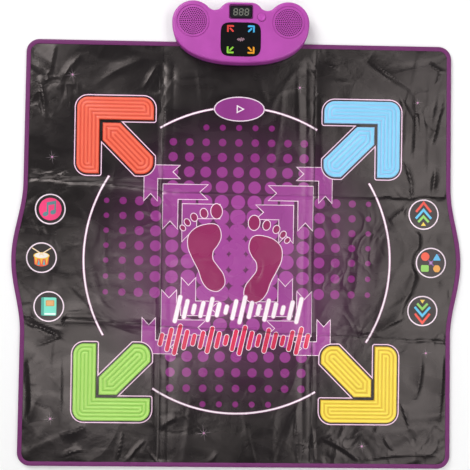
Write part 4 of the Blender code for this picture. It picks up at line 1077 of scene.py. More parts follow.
def fold_lines():
    """The cover's folds and wrinkles as lines: start, heading, length, bend, width, height."""
    lines = []
    draw = random.Random(41)
    regions = (
        (-0.31, 0.33, 0.12, 0.06, -40, 18, 7, 1.6), (0.37, 0.27, 0.05, 0.10, 84, 12, 8, 1.6),
        (0.0, 0.30, 0.12, 0.05, 75, 40, 6, 1.3), (-0.36, -0.30, 0.07, 0.12, 60, 40, 9, 1.6),
        (0.36, -0.36, 0.08, 0.06, 25, 35, 8, 1.5), (0.0, -0.37, 0.12, 0.04, 0, 90, 7, 1.2),
        (-0.24, -0.12, 0.08, 0.03, -25, 30, 9, 0.8), (0.24, -0.15, 0.09, 0.03, 20, 30, 9, 0.8),
        (-0.38, 0.15, 0.05, 0.02, 0, 30, 9, 0.7), (0.38, 0.13, 0.05, 0.02, -5, 40, 9, 0.7),
        (-0.38, -0.11, 0.05, 0.02, -15, 40, 7, 0.8), (0.39, -0.16, 0.04, 0.02, 40, 40, 7, 0.8),
        (-0.152, 0.09, 0.02, 0.06, 40, 60, 7, 0.7), (0.152, 0.09, 0.02, 0.06, 130, 60, 7, 0.7),
        (-0.152, -0.15, 0.02, 0.05, 140, 60, 7, 0.7), (0.152, -0.15, 0.02, 0.05, 50, 60, 7, 0.7),
        (-0.152, 0.33, 0.02, 0.06, 90, 60, 6, 0.7), (0.152, 0.33, 0.02, 0.06, 90, 60, 6, 0.7),
        (0.33, 0.0, 0.08, 0.10, 60, 30, 5, 2.2), (-0.32, 0.02, 0.08, 0.10, 100, 30, 5, 2.0),
        (0.0, 0.0, 0.12, 0.16, 0, 90, 5, 1.4),
    )
    for x, y, reach_x, reach_y, heading, swing, count, size in regions:
        for _ in range(count):
            lines.append((x + draw.uniform(-reach_x, reach_x), y + draw.uniform(-reach_y, reach_y),
                          heading + draw.uniform(-swing, swing), size * draw.uniform(0.03, 0.09),
                          draw.uniform(-0.15, 0.15), size * draw.uniform(0.0030, 0.0062),
                          draw.uniform(0.4, 1.0)))
    return lines


def uneven(values, spacing, seed):
    """A smooth line through random heights between 0 and 1, one at each spacing."""
    draw = random.Random(seed)
    heights = np.array([draw.random() for _ in range(int(1.2 / spacing) + 3)])
    place = (values + 0.6) / spacing
    step = np.clip(place.astype(int), 0, len(heights) - 2)
    return heights[step] + (heights[step + 1] - heights[step]) * ease(place - step, 0.0, 1.0)


FOLD_SEEDS = (3, 5)


def crease_lines(x, local):
    """The creases: the way off the line, the way along it, a seed and the slopes' widths."""
    fold_widths, cross_widths = (0.009, 0.012), (0.005, 0.014)
    lines = [(side * x - FOLD_X, local, seed, fold_widths)
             for side, seed in zip((-1, 1), FOLD_SEEDS)]
    upper = np.interp(x, (-0.43, -0.26, -0.14, 0.14, 0.30, 0.44),
                      (0.160, 0.150, 0.136, 0.131, 0.131, 0.133))
    lower = np.interp(x, (-0.43, -0.28, -0.15, 0.0, 0.18, 0.44),
                      (-0.116, -0.124, -0.132, -0.139, -0.150, -0.159))
    for line, seed in ((upper, 7), (lower, 11)):
        wander = 0.0035 * (uneven(x, 0.045, seed) - 0.5) + 0.0016 * (uneven(x, 0.017, seed) - 0.5)
        lines.append((local - line - wander, x, seed + 1, cross_widths))
    return lines


def off_line(x, y, start_x, start_y, cosine, sine):
    """How far places lie along a line and how far to its left."""
    dx, dy = x - start_x, y - start_y
    return dx * cosine + dy * sine, dy * cosine - dx * sine


def cover_relief(x, y):
    """The loose cover's broad folds and the hollows along its creases, in metres."""
    local = y - PRINT_Y
    relief = np.zeros(len(x))
    for away, along, seed, widths in crease_lines(x, local):
        deep = 0.0018 + 0.0018 * uneven(along, 0.07, seed + 30)
        reach = np.hypot(away, 0.0016) - 0.0016
        wide = np.where(away < 0.0, widths[0], widths[1])
        wide = wide * (0.6 + 0.8 * uneven(along, 0.09, seed + 40))
        relief -= deep * np.exp(-reach / wide)
        if seed in FOLD_SEEDS:
            second = np.hypot(away + 0.016 + 0.004 * uneven(along, 0.12, seed + 50), 0.002)
            relief -= 0.55 * deep * np.exp(-second / 0.006)
    for start_x, start_y, end_x, end_y, bow, gentle, steep, rise in FOLDS:
        reach_x, reach_y = (end_x - start_x) / 2, (end_y - start_y) / 2
        half = math.hypot(reach_x, reach_y)
        along, across = off_line(1000.0 * x, 1000.0 * local, start_x + reach_x,
                                 start_y + reach_y, reach_x / half, reach_y / half)
        taper = np.clip(1.0 - (along / half) ** 2, 0.0, 1.0)
        across = across - bow * (1.0 - (along / half) ** 2)
        slope = 1.0 - np.where(across > 0.0, across / gentle, -across / steep)
        relief += rise / 1000.0 * np.clip(slope, 0.0, 1.0) ** 1.5 * taper
    return relief * calm(x, y)


def cover_height(x, y, settings):
    """How far the cover stands up over the foam, and its crease mark for painted shade and
    highlight: ridges 1, valleys -1.
    """
    local = y - PRINT_Y
    height, crease = np.zeros(len(x)), np.zeros(len(x))
    shoulder, fade, limit, centre_limit = 0.0026, 0.0075, 0.0013, 0.0010
    # Where the bands of painted highlight lie beside a crease and their width, and the width of the
    # painted shade in its valley
    highlight_and_wear_reach, highlight_and_wear_width, valley_width = 0.0032, 0.0014, 0.0022
    for away, along, seed, _ in crease_lines(x, local):
        for side in (-1, 1):
            share, out = 0.25 + 0.75 * uneven(along, 0.035, seed + side), side * away
            height += settings.crease * share * np.clip(out / shoulder, 0.0, 1.0) * np.exp(
                -np.maximum(out - shoulder, 0.0) / fade)
            # Bands of painted highlight, with whitening wear, beside the crease
            crease += 0.55 * share * np.exp(-((out - highlight_and_wear_reach) / highlight_and_wear_width) ** 2)
        depth = 0.4 + 0.6 * uneven(along, 0.06, seed + 20)
        # The crease's valley line, which takes painted shade
        crease -= depth * np.exp(-(away / valley_width) ** 2)
    for start_x, start_y, heading, length, bend, width, share in fold_lines():
        turn = math.radians(heading)
        along, across = off_line(x, local, start_x, start_y, math.cos(turn), math.sin(turn))
        across = across - bend * along ** 2 / length
        taper = np.clip(1.0 - (along / length) ** 2, 0.0, 1.0)
        steep = np.where(across > 0.0, 0.55, 1.25) * width * (0.5 + 0.5 * taper)
        height += settings.wrinkle * share * taper * np.exp(-(across / steep) ** 2)
    height = np.minimum(limit * np.tanh(height / limit),
                        np.where(abs(x) < FOLD_X, centre_limit, limit))
    share = calm(x, y)
    return height * share, np.clip(crease, -1.0, 1.0) * share


def cover_finishes(settings):
    """The cover's finishes, in the order of its material slots."""
    prints = {"outline": settings.outline, "white": settings.white, "purple": settings.purple,
              "footprint": settings.footprint, "bars": settings.bars,
              "sparkle": tuple(0.16 * share + 0.02 for share in settings.outline),
              "pink_edge": scaled(settings.outline, 0.62, 0.34, 0.55)}
    return [halftone_finish(settings)] + [vinyl_finish(f"print_{name}", colour)
                                          for name, colour in prints.items()]


class BuildCover(bpy.types.Operator):
    """Cut the printed cover, raise its creases and wrinkles and hang its columns"""

    bl_idname = "dance_mat.build_cover"
    bl_label = "Printed cover"

    def execute(self, context):
        settings = context.scene.dance_mat_cover
        holes = pad_holes() + [start_outline(SLIDE_FIT)] + fitting_holes(SCREW_FIT, TAIL_SLOT)
        holes += disc_holes(SLIDE_FIT, 64)
        layers = (sparkle_layers() + bracket_layers() + circle_layers() + foot_layers()
                  + level_layers() + arrow_layers())
        cut = cut_layer(settings.grid, holes, [loop for loop, _ in layers])
        places, _, centres = cut
        # The crease mark carries painted shade and highlight along the creases into the cover's
        # finishes
        height, crease = cover_height(places[:, 0], places[:, 1], settings)
        relief = cover_relief(places[:, 0], places[:, 1])
        top = COVER_TOP + height
        thickness = COVER_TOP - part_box("cover_centre")[0][2]
        finishes = cover_finishes(settings)
        for piece, column, area in split_layer(
                "printed_cover", cut, top, top - thickness, numbers=paint(centres, layers),
                marks=[("crease", crease, 1.0), ("relief", relief, 1.0)]):
            enlist(piece, finishes, "black_vinyl", None, f"cover_{column}")
            hang(piece, column)
            cut_size(column)
        return {'FINISHED'}


class BuildLayers(bpy.types.Operator):
    """Cut the base cloth, the two contact films and the foam, and hang their columns"""

    bl_idname = "dance_mat.build_layers"
    bl_label = "Base, films and foam"

    def execute(self, context):
        cloth = underside_finish()
        film = moulded_finish("contact_film", "c6ccd0", 0.3, 0.1)
        foam = moulded_finish("foam_core", "e2ddd0", 0.9, 0.9, 420.0)
        windows = window_holes() + [start_outline(SLIDE_FIT)] + disc_holes(WINDOW_MARGIN, 32)
        layers = (
            ("base", "underside_cloth", "base_fabric", cloth, [], (SCREW_ROOM, 0.0)),
            ("lower_film", "lower_contact_film", "film", film, [], (SCREW_ROOM, 0.0)),
            ("foam", "foam_core", "foam", foam, windows, (SCREW_FIT, FOAM_TAIL_SLOT)),
            ("upper_film", "upper_contact_film", "film", film, windows, (SCREW_FIT, TAIL_SLOT)),
        )
        for node_name, name, slot, finish, holes, fitting in layers:
            low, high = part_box(f"{node_name}_centre")
            cut = cut_layer(LAYER_GRID, holes + fitting_holes(*fitting))
            for piece, column, area in split_layer(name, cut, high[2], max(low[2], UNDER_LIP)):
                enlist(piece, [finish], slot, None, f"{node_name}_{column}")
                hang(piece, column)
                if node_name == "foam":
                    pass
                else:
                    cut_size(column)
        return {'FINISHED'}


# Edge tape

def swept(name, path, section):
    """A closed section carried along an open line that has the mat on its left."""
    rings, faces = [], []
    count = len(section)
    for corner, before, after in headings(path):
        inward = Vector((-before.y - after.y, before.x + after.x)).normalized()
        rings += [(corner.x + inward.x * inset, corner.y + inward.y * inset, height)
                  for inset, height in section]
    for first in range(0, (len(path) - 1) * count, count):
        for index in range(count):
            ahead = (index + 1) % count
            faces.append((first + index, first + ahead, first + count + ahead,
                          first + count + index))
    faces += [range(count)[::-1], range(len(rings) - count, len(rings))]
    mesh = bpy.data.meshes.new(name)
    mesh.from_pydata(rings, [], [tuple(face) for face in faces])
    bm = bmesh.new()
    bm.from_mesh(mesh)
    bmesh.ops.recalc_face_normals(bm, faces=bm.faces)
    bm.to_mesh(mesh)
    bm.free()
    return smooth_piece(name, mesh)


def tape_section():
    """The folded tape's section as pairs of inset and height, closed over the edge."""
    wall, thick, low_round, high_round, lap = 0.0025, 0.0007, 0.0011, 0.0020, 0.00005
    section = arc(low_round, low_round, low_round, 270.0, 180.0, 3)
    section += [(high_round - high_round * math.cos(math.radians(turn)),
                 BINDING_TOP - high_round + high_round * math.sin(math.radians(turn)))
                for turn in (0, 22, 45, 67, 90)]
    return section + [
        (TAPE_LIP - 0.0004, BINDING_TOP - lap), (TAPE_LIP - 0.0001, BINDING_TOP - 0.0003),
        (TAPE_LIP, BINDING_TOP - thick), (wall, BINDING_TOP - thick), (wall, UNDER_LIP - lap),
        (TAPE_LIP, UNDER_LIP - lap), (TAPE_LIP, 0.0)]


def tape_paths():
    """The four tapes' lines. The side ones have short steps beside the creases."""
    bend = [FOLD_X + BEND_STEP * step for step in range(int(BEND_WIDTH / BEND_STEP) + 2)]
    right = [(x, MAT_BOTTOM) for x in bend]
    right += dense(wing_edge(0.0)[1:-1], 0.006, closed=False)
    right += [(x, MAT_TOP) for x in reversed(bend)]
    return {"right": right, "left": mirrored(right),
            "bottom": [(-FOLD_X, MAT_BOTTOM), (FOLD_X, MAT_BOTTOM)],
            "top": [(FOLD_X, MAT_TOP), (-FOLD_X, MAT_TOP)]}


class BuildTape(bpy.types.Operator):
    """Sweep the purple edge tape along the mat's four edges"""

    bl_idname = "dance_mat.build_tape"
    bl_label = "Edge tape"

    def execute(self, context):
        tape = tape_finish()
        for end, path in tape_paths().items():
            column = end if end in ("left", "right") else "centre"
            piece = swept(f"edge_tape_{end}", path, tape_section())
            enlist(piece, [tape], "binding", None, f"binding_{end}")
            hang(piece, column)
            length = sum(math.dist(*ends) for ends in zip(path, path[1:]))
        return {'FINISHED'}


# Arrow pads

def chevron_inset(u, v):
    """How far inside the chevron's edge a place lies."""
    along, across = np.maximum(u, v), np.minimum(u, v)
    end = ARROW_SIZE - CORNER_ROUND
    inset = np.minimum(np.minimum(across, ARM_WIDTH - across), ARROW_SIZE - along)
    low = across < CORNER_ROUND
    elbow = CORNER_ROUND - np.hypot(along - CORNER_ROUND, across - CORNER_ROUND)
    tip = CORNER_ROUND - np.hypot(along - end, across - CORNER_ROUND)
    inset = np.where(low & (along < CORNER_ROUND), elbow, inset)
    return np.where(low & (along > end), np.minimum(tip, inset), inset)


def stem_inset(u, v):
    """How far inside the stem's edge a place lies."""
    low, high = ARM_WIDTH + STEM_GAP, ARROW_SIZE
    tip = high - TIP_ROUND
    side = (STEM_LEG - abs(u - v)) / math.sqrt(2.0)
    inset = np.minimum(np.minimum(u, v) - low, np.minimum(side, high - np.maximum(u, v)))
    ahead = (u > tip) & (v > tip)
    round_tip = TIP_ROUND - np.hypot(u - tip, v - tip)
    return np.where(ahead, np.minimum(round_tip, side), inset)


def pad_height(inset, half_width, settings):
    """A padded arrow's height and how deep in a groove each place lies."""
    pitch = half_width / settings.grooves
    groove = 0.5 + 0.5 * np.cos(2.0 * math.pi * inset / pitch)
    wanted = groove * ease(inset, pitch * 0.45, pitch * 0.6)
    share = np.clip(inset / half_width, 0.0, 1.0)
    crown = settings.crown * (1.0 - np.sin(share * math.pi / 2.0))
    roll = settings.edge_roll
    away = np.clip(1.0 - inset / roll, 0.0, 1.0)
    drop = settings.edge_drop * (1.0 - np.sqrt(np.maximum(0.0, 1.0 - away ** 2)))
    height = PAD_TOP - crown - drop - settings.groove_depth * wanted
    return height, np.maximum(groove, 0.0)


def pad_piece(name, quarter, outline, inset_of, half_width, settings):
    """One padded piece of an arrow: rings of points at equal distances from its edge."""
    depths = [0.0, 0.0002, 0.0005, 0.0009, 0.0013, 0.0018]
    reach, fill_step, keep_off = half_width * 0.985, 0.0024, 0.0009
    deepest = min(reach, CORNER_ROUND - 0.0003)
    inner = [depths[-1] + step * settings.ring for step in range(1, int(reach / settings.ring) + 1)]
    depths += [depth for depth in inner if depth < deepest]
    fill = honeycomb((0.0, 0.0), (ARROW_SIZE, ARROW_SIZE), fill_step)
    places, triangles, centres = cut_flat([dense(outline(-depth), FINE_STEP) for depth in depths],
                                          [], fill, keep_off)
    kept = (inset_of(*centres.T) > 0.0) & inside(outline(0.0), centres)
    height, groove = pad_height(np.maximum(inset_of(*places.T), 0.0), half_width, settings)
    on_floor = np.array(from_corner(quarter, places.tolist()))
    triangles = triangles[kept][:, ::math.prod(QUARTERS[quarter])]
    return closed_sheet(name, on_floor, triangles, height, PAD_BOTTOM,
                        marks=[("groove", groove, 0.0)])


class BuildPads(bpy.types.Operator):
    """Shape the eight embossed pads of the four arrows"""

    bl_idname = "dance_mat.build_pads"
    bl_label = "Arrow pads"

    def execute(self, context):
        settings = context.scene.dance_mat_pads
        tones = {"red": ("f0674a", "d33f24", 0.40), "blue": ("7fcbef", "9db9e4", 0.62),
                 "green": ("aedb6c", "89c24c", 0.50), "yellow": ("f7de4e", "dbae2f", 0.45)}
        shapes = {"chevron": (chevron_outline, chevron_inset, ARM_WIDTH / 2),
                  "stem": (stem_outline, stem_inset, STEM_LEG / math.sqrt(2.0))}
        for quarter, (ridge, groove, start) in tones.items():
            finish = pad_finish(f"{quarter}_pad_vinyl", ridge, groove, start)
            for part, shape in shapes.items():
                piece = pad_piece(f"{quarter}_{part}_pad", quarter, *shape, settings)
                enlist(piece, [finish], f"{quarter}_pad", f"{quarter}_arrow",
                       f"{quarter}_{part}")
        return {'FINISHED'}


# Switch discs

def disc_art(name):
    """A disc's print: outlines in millimetres from its middle, and their colour codes."""
    if name in ("right_disc_top", "right_disc_bottom"):
        way = 1 if name == "right_disc_top" else -1
        art = [(stroke([(-15, 5.4), (0, 24), (15, 5.4)], 4.6), "ee4a3a"),
               (stroke([(-15.5, -8), (0, 9.6), (15.5, -8)], 4.6), "58c4ee"),
               (stroke([(-10.5, -15), (0, -3.6), (10.5, -15)], 4.6), "8ed060"),
               ([(0, -15), (-5, -22.5), (5, -22.5)], "f4d34c")]
        return [([(x, way * y) for x, y in loop[::way]], colour) for loop, colour in art]
    if name == "right_disc_middle":
        hexagon = [(4, -11.5), (8, -18.5), (16, -18.5), (20, -11.5), (16, -4.5), (8, -4.5)]
        shapes = [(circle(-11.5, 12.5, 8.6, 28), "f0563c"),
                  (rounded([(3.5, 4.8), (20.5, 4.8), (12, 19.5)], 3), "57bdec"),
                  (rounded(rectangle(-20, -18, -4, -4.5), 3), "8fd05c"),
                  (rounded(hexagon, 2.5), "f3a845")]
        lines = [(stroke([(-17, way * 17.5), (17, -way * 17.5)], 2.2), "8c4aa2")
                 for way in (1, -1)]
        diamond = [([(0, -3.6), (3.6, 0), (0, 3.6), (-3.6, 0)], "b685c4")]
        return lines + [(grown(loop, 1.3), "000000") for loop, _ in shapes] + shapes + diamond
    if name == "left_disc_top":
        note = [stroke([(-5.4, -9), (-5.4, 12), (9.6, 15), (9.6, -5)], 3.4),
                [(-7.1, 7), (-7.1, 13), (11.3, 16.7), (11.3, 10.7)]]
        note += [turned(oval(0, 0, 5.8, 4.4, 24), x, y, 20) for x, y in ((-9.2, -9.8), (5.8, -6))]
        return [(circle(0, 0, 22.5, 48), "f5417d")] + [(loop, "5f8a90") for loop in note]
    if name == "left_disc_middle":
        body = [(-15, 3), (15, 3), (13.5, -13), (7, -16.5), (0, -17.5), (-7, -16.5), (-13.5, -13)]
        art = [(body, "ee5b3a")]
        art += [([(x - 3.2, 2), (x + 3.2, 2), (x, -14.5)], "f2c23e") for x in (-10.5, 0, 10.5)]
        art += [([(x - 2.6, -14.5), (x + 2.6, -14.5), (x, -3)], "4fb3b8") for x in (-5.2, 5.2)]
        art += [(oval(0, 4, 16, 6.8, 40), "f2c23e"), (oval(0, 4.4, 14, 5.4, 40), "f6efe6")]
        return art + [(stroke([(way * 19, 19.5), (-way * 5, 4.5)], 2.2), "f4d9b4")
                      for way in (-1, 1)]
    return [(rounded(rectangle(-15, -18, 15, 18), 3), "74dcc3"),
            (rounded(rectangle(-15, -18, -9.5, 18), 2), "3fa897"),
            (rectangle(-8.5, -16.5, 13.5, -13), "e8f6ef"),
            (rounded(rectangle(-6, 1, 11, 12.5), 2), "d08d4c"),
            (rounded(rectangle(-4.3, 2.7, 9.3, 10.8), 1.5), "dfa96c")]


def printed_disc(name, outline, art, ground, slot, body):
    """A flat printed disc. Its art pairs outlines on the mat with colour codes."""
    codes = [ground] + sorted({code for _, code in art})
    loops = [dense(loop, FINE_STEP) for loop in [outline] + [loop for loop, _ in art]]
    low, high = np.min(outline, 0), np.max(outline, 0)
    places, triangles, centres = cut_flat(loops, [], honeycomb(low, high, FINE_STEP), 0.0008)
    kept = inside(outline, centres)
    numbers = paint(centres[kept], [(loop, codes.index(code)) for loop, code in art])
    piece = closed_sheet(f"{name}_pad", places, triangles[kept], COVER_TOP, DISC_BOTTOM, numbers)
    enlist(piece, [vinyl_finish(f"{name}_{code}", code, 0.3, 0.25) for code in codes],
           slot, body, name)


class BuildDiscs(bpy.types.Operator):
    """Cut the six printed discs and the oval start disc"""

    bl_idname = "dance_mat.build_discs"
    bl_label = "Switch discs"

    def execute(self, context):
        def placed(art, x, y):
            return [([(x + px / 1000, y + py / 1000) for px, py in loop], code)
                    for loop, code in art]

        for name, (x, y) in disc_places().items():
            ring = [(circle(0, 0, 30.5, 72), "fbe6f3"), (circle(0, 0, 28.1, 72), "1c191c")]
            printed_disc(name, circle(x, y, DISC_RADIUS, 72), placed(ring + disc_art(name), x, y),
                         "252125", "disc_print", f"{name.replace('_disc', '')}_switch")
        play = [([(-5.5, -8.5), (10.5, 0), (-5.5, 8.5)], "fbeff7"),
                ([(-3.2, -4.9), (6, 0), (-3.2, 4.9)], "93358b")]
        edge = [(start_outline(-0.0006), "f6e3f0"), (start_outline(-0.0026), "93358b")]
        printed_disc("start_disc", start_outline(), edge + placed(play, 0, START_Y), "4a2348",
                     "start_print", "start_switch")
        return {'FINISHED'}


# Modelling with Blender's own tools

def deselect():
    bpy.ops.object.select_all(action='DESELECT')


def activate(*pieces):
    """Selects pieces and makes the first one active."""
    deselect()
    for piece in pieces:
        piece.select_set(True)
    bpy.context.view_layer.objects.active = pieces[0]


def open_loop(name, points, fill):
    """A mesh circle moved onto points, all of it selected for editing."""
    deselect()
    bpy.ops.mesh.primitive_circle_add(vertices=len(points), fill_type=fill)
    piece = bpy.context.object
    piece.name = piece.data.name = name
    piece.data.vertices.foreach_set("co", [part for point in points for part in point])
    bpy.ops.object.mode_set(mode='EDIT')
    bpy.ops.mesh.select_all(action='SELECT')
    return piece


def close_edit():
    """Turns all faces outwards and leaves edit mode."""
    bpy.ops.mesh.select_all(action='SELECT')
    bpy.ops.mesh.normals_make_consistent(inside=False)
    bpy.ops.object.mode_set(mode='OBJECT')


def prism(name, outline, low, high, fillet=0.0, steps=6):
    """An outline extruded upwards, its upper rim rounded."""
    piece = open_loop(name, [(x, y, low) for x, y in outline], 'NGON')
    bpy.ops.mesh.extrude_region_move(TRANSFORM_OT_translate={"value": (0.0, 0.0, high - low)})
    if fillet:
        bpy.ops.mesh.bevel(offset=fillet, segments=steps, affect='EDGES', clamp_overlap=False)
    close_edit()
    return piece


def lathe(name, profile, x, y, steps=48):
    """A profile of radius and height spun round an upright line."""
    piece = open_loop(name, [(x + radius, y, height) for radius, height in profile], 'NOTHING')
    bpy.ops.mesh.spin(steps=steps, angle=2.0 * math.pi, center=(x, y, 0.0), axis=(0.0, 0.0, 1.0))
    bpy.ops.mesh.select_all(action='SELECT')
    bpy.ops.mesh.remove_doubles(threshold=0.00002)
    close_edit()
    return piece


def join_pieces(pieces):
    if len(pieces) > 1:
        activate(*pieces)
        bpy.ops.object.join()
    return pieces[0]


def apply_step(piece, name, kind, **settings):
    """Adds a modifier and applies it."""
    step = piece.modifiers.new(name, kind)
    for key, value in settings.items():
        setattr(step, key, value)
    activate(piece)
    bpy.ops.object.modifier_apply(modifier=step.name)


def carve(piece, cutters, operation='DIFFERENCE'):
    """Cuts pieces out of another one, or welds them onto it."""
    cutter = join_pieces(cutters)
    apply_step(piece, "carve", 'BOOLEAN', operation=operation, solver='EXACT', object=cutter)
    bpy.data.objects.remove(cutter, do_unlink=True)


def soften(piece):
    """Smooth shading that leaves flat faces flat."""
    activate(piece)
    bpy.ops.object.shade_smooth_by_angle(angle=math.radians(35.0))
    apply_step(piece, "normals", 'WEIGHTED_NORMAL', keep_sharp=True)


# Console

def from_mat_top(points):
    return [(x, MAT_TOP + y) for x, y in points]


def super_point(half_width, half_depth, sharpness, angle):
    """A point of a rounded box: sharpness 2 is an ellipse, and more is squarer."""
    across, along = math.cos(angle), math.sin(angle)
    power = 2.0 / sharpness
    return (math.copysign(half_width * abs(across) ** power, across),
            math.copysign(half_depth * abs(along) ** power, along))


def rounded_box(y, width, depth, sharpness, steps):
    loop = [super_point(width / 2, depth / 2, sharpness, 2.0 * math.pi * step / steps)
            for step in range(steps)]
    return from_mat_top([(px, y + py) for px, py in loop])


def console_outline(inset=0.0):
    """The console from above: two lobes, two valleys, a hump and a broad front."""
    speaker_x, speaker_y, lobe = SPEAKER_X, SPEAKER_Y, 0.0415
    valley_x, valley_depth, hump_flat, hump_y = 0.052, 0.0157, 0.020, 0.0733
    valley_y = hump_y - valley_depth
    rise = valley_y - speaker_y
    valley = ((speaker_x - valley_x) ** 2 + rise ** 2 - lobe ** 2) / (2 * (lobe - rise))
    valley_centre = valley_y + valley
    above = valley_centre - hump_y
    reach = valley_x - hump_flat
    hump = (reach ** 2 + above ** 2 - valley ** 2) / (2 * (valley - above))
    hump_centre = hump_y - hump
    lobe_turn = math.degrees(math.atan2(valley_centre - speaker_y, valley_x - speaker_x))
    hump_turn = math.degrees(math.atan2(valley_centre - hump_centre, reach))
    right = arc(speaker_x, speaker_y, lobe - inset, 0.0, lobe_turn, 26)
    right += arc(valley_x, valley_centre, valley + inset, lobe_turn - 180.0,
                 hump_turn - 180.0, 12)[1:-1]
    right += arc(hump_flat, hump_centre, hump - inset, hump_turn, 90.0, 9)
    half_width = speaker_x + lobe - inset
    half_depth = speaker_y + 0.0465 - inset
    front = [super_point(half_width, half_depth, 2.4, math.pi * (1.0 + step / 56))
             for step in range(1, 56)]
    front = [(x, speaker_y + y) for x, y in front]
    return from_mat_top(right + mirrored(right) + front)


def display_outline(grow):
    return rounded_box(0.0536, 0.0475 + 2 * grow, 0.029 + 2 * grow, 9.0, 72)


def panel_outline(grow):
    return rounded_box(-0.001, 0.079 + 2 * grow, 0.067 + 2 * grow, 5.0, 96)


def grille_cutters(x, y, settings, low, high):
    """One hole's cutter and its copies in rings."""
    first = prism("hole", circle(x, y, settings.hole, 12), low, high)
    cutters = [first]
    for ring in range(1, settings.hole_rings + 1):
        for px, py in circle(0.0, 0.0, ring * settings.hole_pitch, 6 * ring):
            copy = first.copy()
            copy.data = first.data.copy()
            copy.data.transform(Matrix.Translation((px, py, 0.0)))
            bpy.context.scene.collection.objects.link(copy)
            cutters.append(copy)
    return cutters


class BuildConsole(bpy.types.Operator):
    """Model the console's upper shell with its grilles, window seats and button hole"""

    bl_idname = "dance_mat.build_console"
    bl_label = "Console shell"

    def execute(self, context):
        settings = context.scene.dance_mat_console
        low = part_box("console_top")[0][2]
        top, under, beyond = CONSOLE_TOP, CONSOLE_TOP - settings.wall, 0.002
        screws = from_mat_top([(side * x, y) for x, y in CASE_SCREWS for side in (-1, 1)])
        shell = prism("console_shell", console_outline(), low, top, settings.fillet, 8)
        carve(shell, [prism("cavity", console_outline(settings.wall), low - beyond, under,
                            settings.fillet - settings.wall, 5)])
        carve(shell, [prism("boss", circle(x, y, BOSS_RADIUS, 24), low, (under + top) / 2)
                      for x, y in screws], 'UNION')
        cuts = [prism("bore", circle(x, y, SCREW_FIT, 20), low - beyond, BORE_TOP)
                for x, y in screws]
        cuts.append(prism("button_hole", circle(*middle_of("round_button"), BUTTON_HOLE, 56),
                          under - beyond, top + beyond))
        floor, wall_foot = top - RING_DEPTH, top - RING_DEPTH + RING_ROUND
        ring = [(RING_INNER, top + beyond), (RING_OUTER, top + beyond), (RING_OUTER, wall_foot),
                (RING_OUTER - RING_ROUND, floor), (RING_INNER + RING_ROUND, floor),
                (RING_INNER, wall_foot)]
        for x, y in from_mat_top([(-SPEAKER_X, SPEAKER_Y), (SPEAKER_X, SPEAKER_Y)]):
            cuts += grille_cutters(x, y, settings, under - beyond, top + beyond)
            cuts.append(lathe("ring_groove", ring, x, y, 96))
        carve(shell, cuts)
        seat = top + WINDOW_RISE - WINDOW_THICK - GLUE_GAP
        for outline in (display_outline, panel_outline):
            carve(shell, [prism("seat", outline(GLUE_GAP), seat, top + beyond)])
            carve(shell, [prism("opening", outline(-SEAT_LEDGE), under - beyond,
                                seat + beyond)])
        soften(shell)
        enlist(shell, [moulded_finish("console_satin", settings.shell, 0.34, 0.22, 2400.0)],
               "console_purple", "centre", "console_top")
        return {'FINISHED'}


class BuildButton(bpy.types.Operator):
    """Spin the console's round button"""

    bl_idname = "dance_mat.build_button"
    bl_label = "Round button"

    def execute(self, context):
        settings = context.scene.dance_mat_console
        low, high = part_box("round_button")
        foot, top = low[2], high[2]
        flange_top = CONSOLE_TOP - settings.wall - GLUE_GAP
        flange_foot = flange_top - 0.0014
        radius, roll, flange, stem = 0.0079, 0.0014, 0.0093, 0.0025
        profile = [(0.0, top - 0.0005), (0.0018, top - 0.00045), (0.0036, top - 0.0003),
                   (0.0052, top - 0.0001)]
        profile += arc(radius - roll, top - roll, roll, 90.0, 0.0, 5)
        profile += [(radius, flange_top), (flange, flange_top), (flange, flange_foot),
                    (stem, flange_foot), (stem, foot), (0.0, foot)]
        button = lathe("console_button", profile, *middle_of("round_button"), 56)
        soften(button)
        satin = moulded_finish("button_satin", scaled(settings.shell, 1.12), 0.28, 0.12, 2400.0)
        enlist(button, [satin], "console_purple", "button", "round_button")
        return {'FINISHED'}


def segment_digit(x, y, height):
    """Seven outlines that make a figure eight."""
    half, reach, thick, slant, gap = height * 0.27, height / 2, height * 0.17, 0.08, height * 0.02

    def segment(from_x, from_y, to_x, to_y):
        unit = Vector((to_x - from_x, to_y - from_y)).normalized()
        side, tip = Vector((-unit.y, unit.x)) * thick / 2, unit * thick / 2
        start = Vector((from_x, from_y)) + unit * gap
        end = Vector((to_x, to_y)) - unit * gap
        points = [start, start + tip - side, end - tip - side, end, end - tip + side,
                  start + tip + side]
        return [(x + point.x + slant * point.y, y + point.y) for point in points]

    across = [segment(-half, level, half, level) for level in (reach, 0.0, -reach)]
    return across + [segment(px, level, px, level + reach)
                     for level in (0.0, -reach) for px in (-half, half)]


def console_print(name, loops, low, rise, finish):
    """Flat marks of one finish on the console, joined into one piece."""
    piece = join_pieces([prism("mark", loop, low - 0.00002, low + rise) for loop in loops])
    piece.name = piece.data.name = name
    enlist(piece, [finish], "digits", "centre")


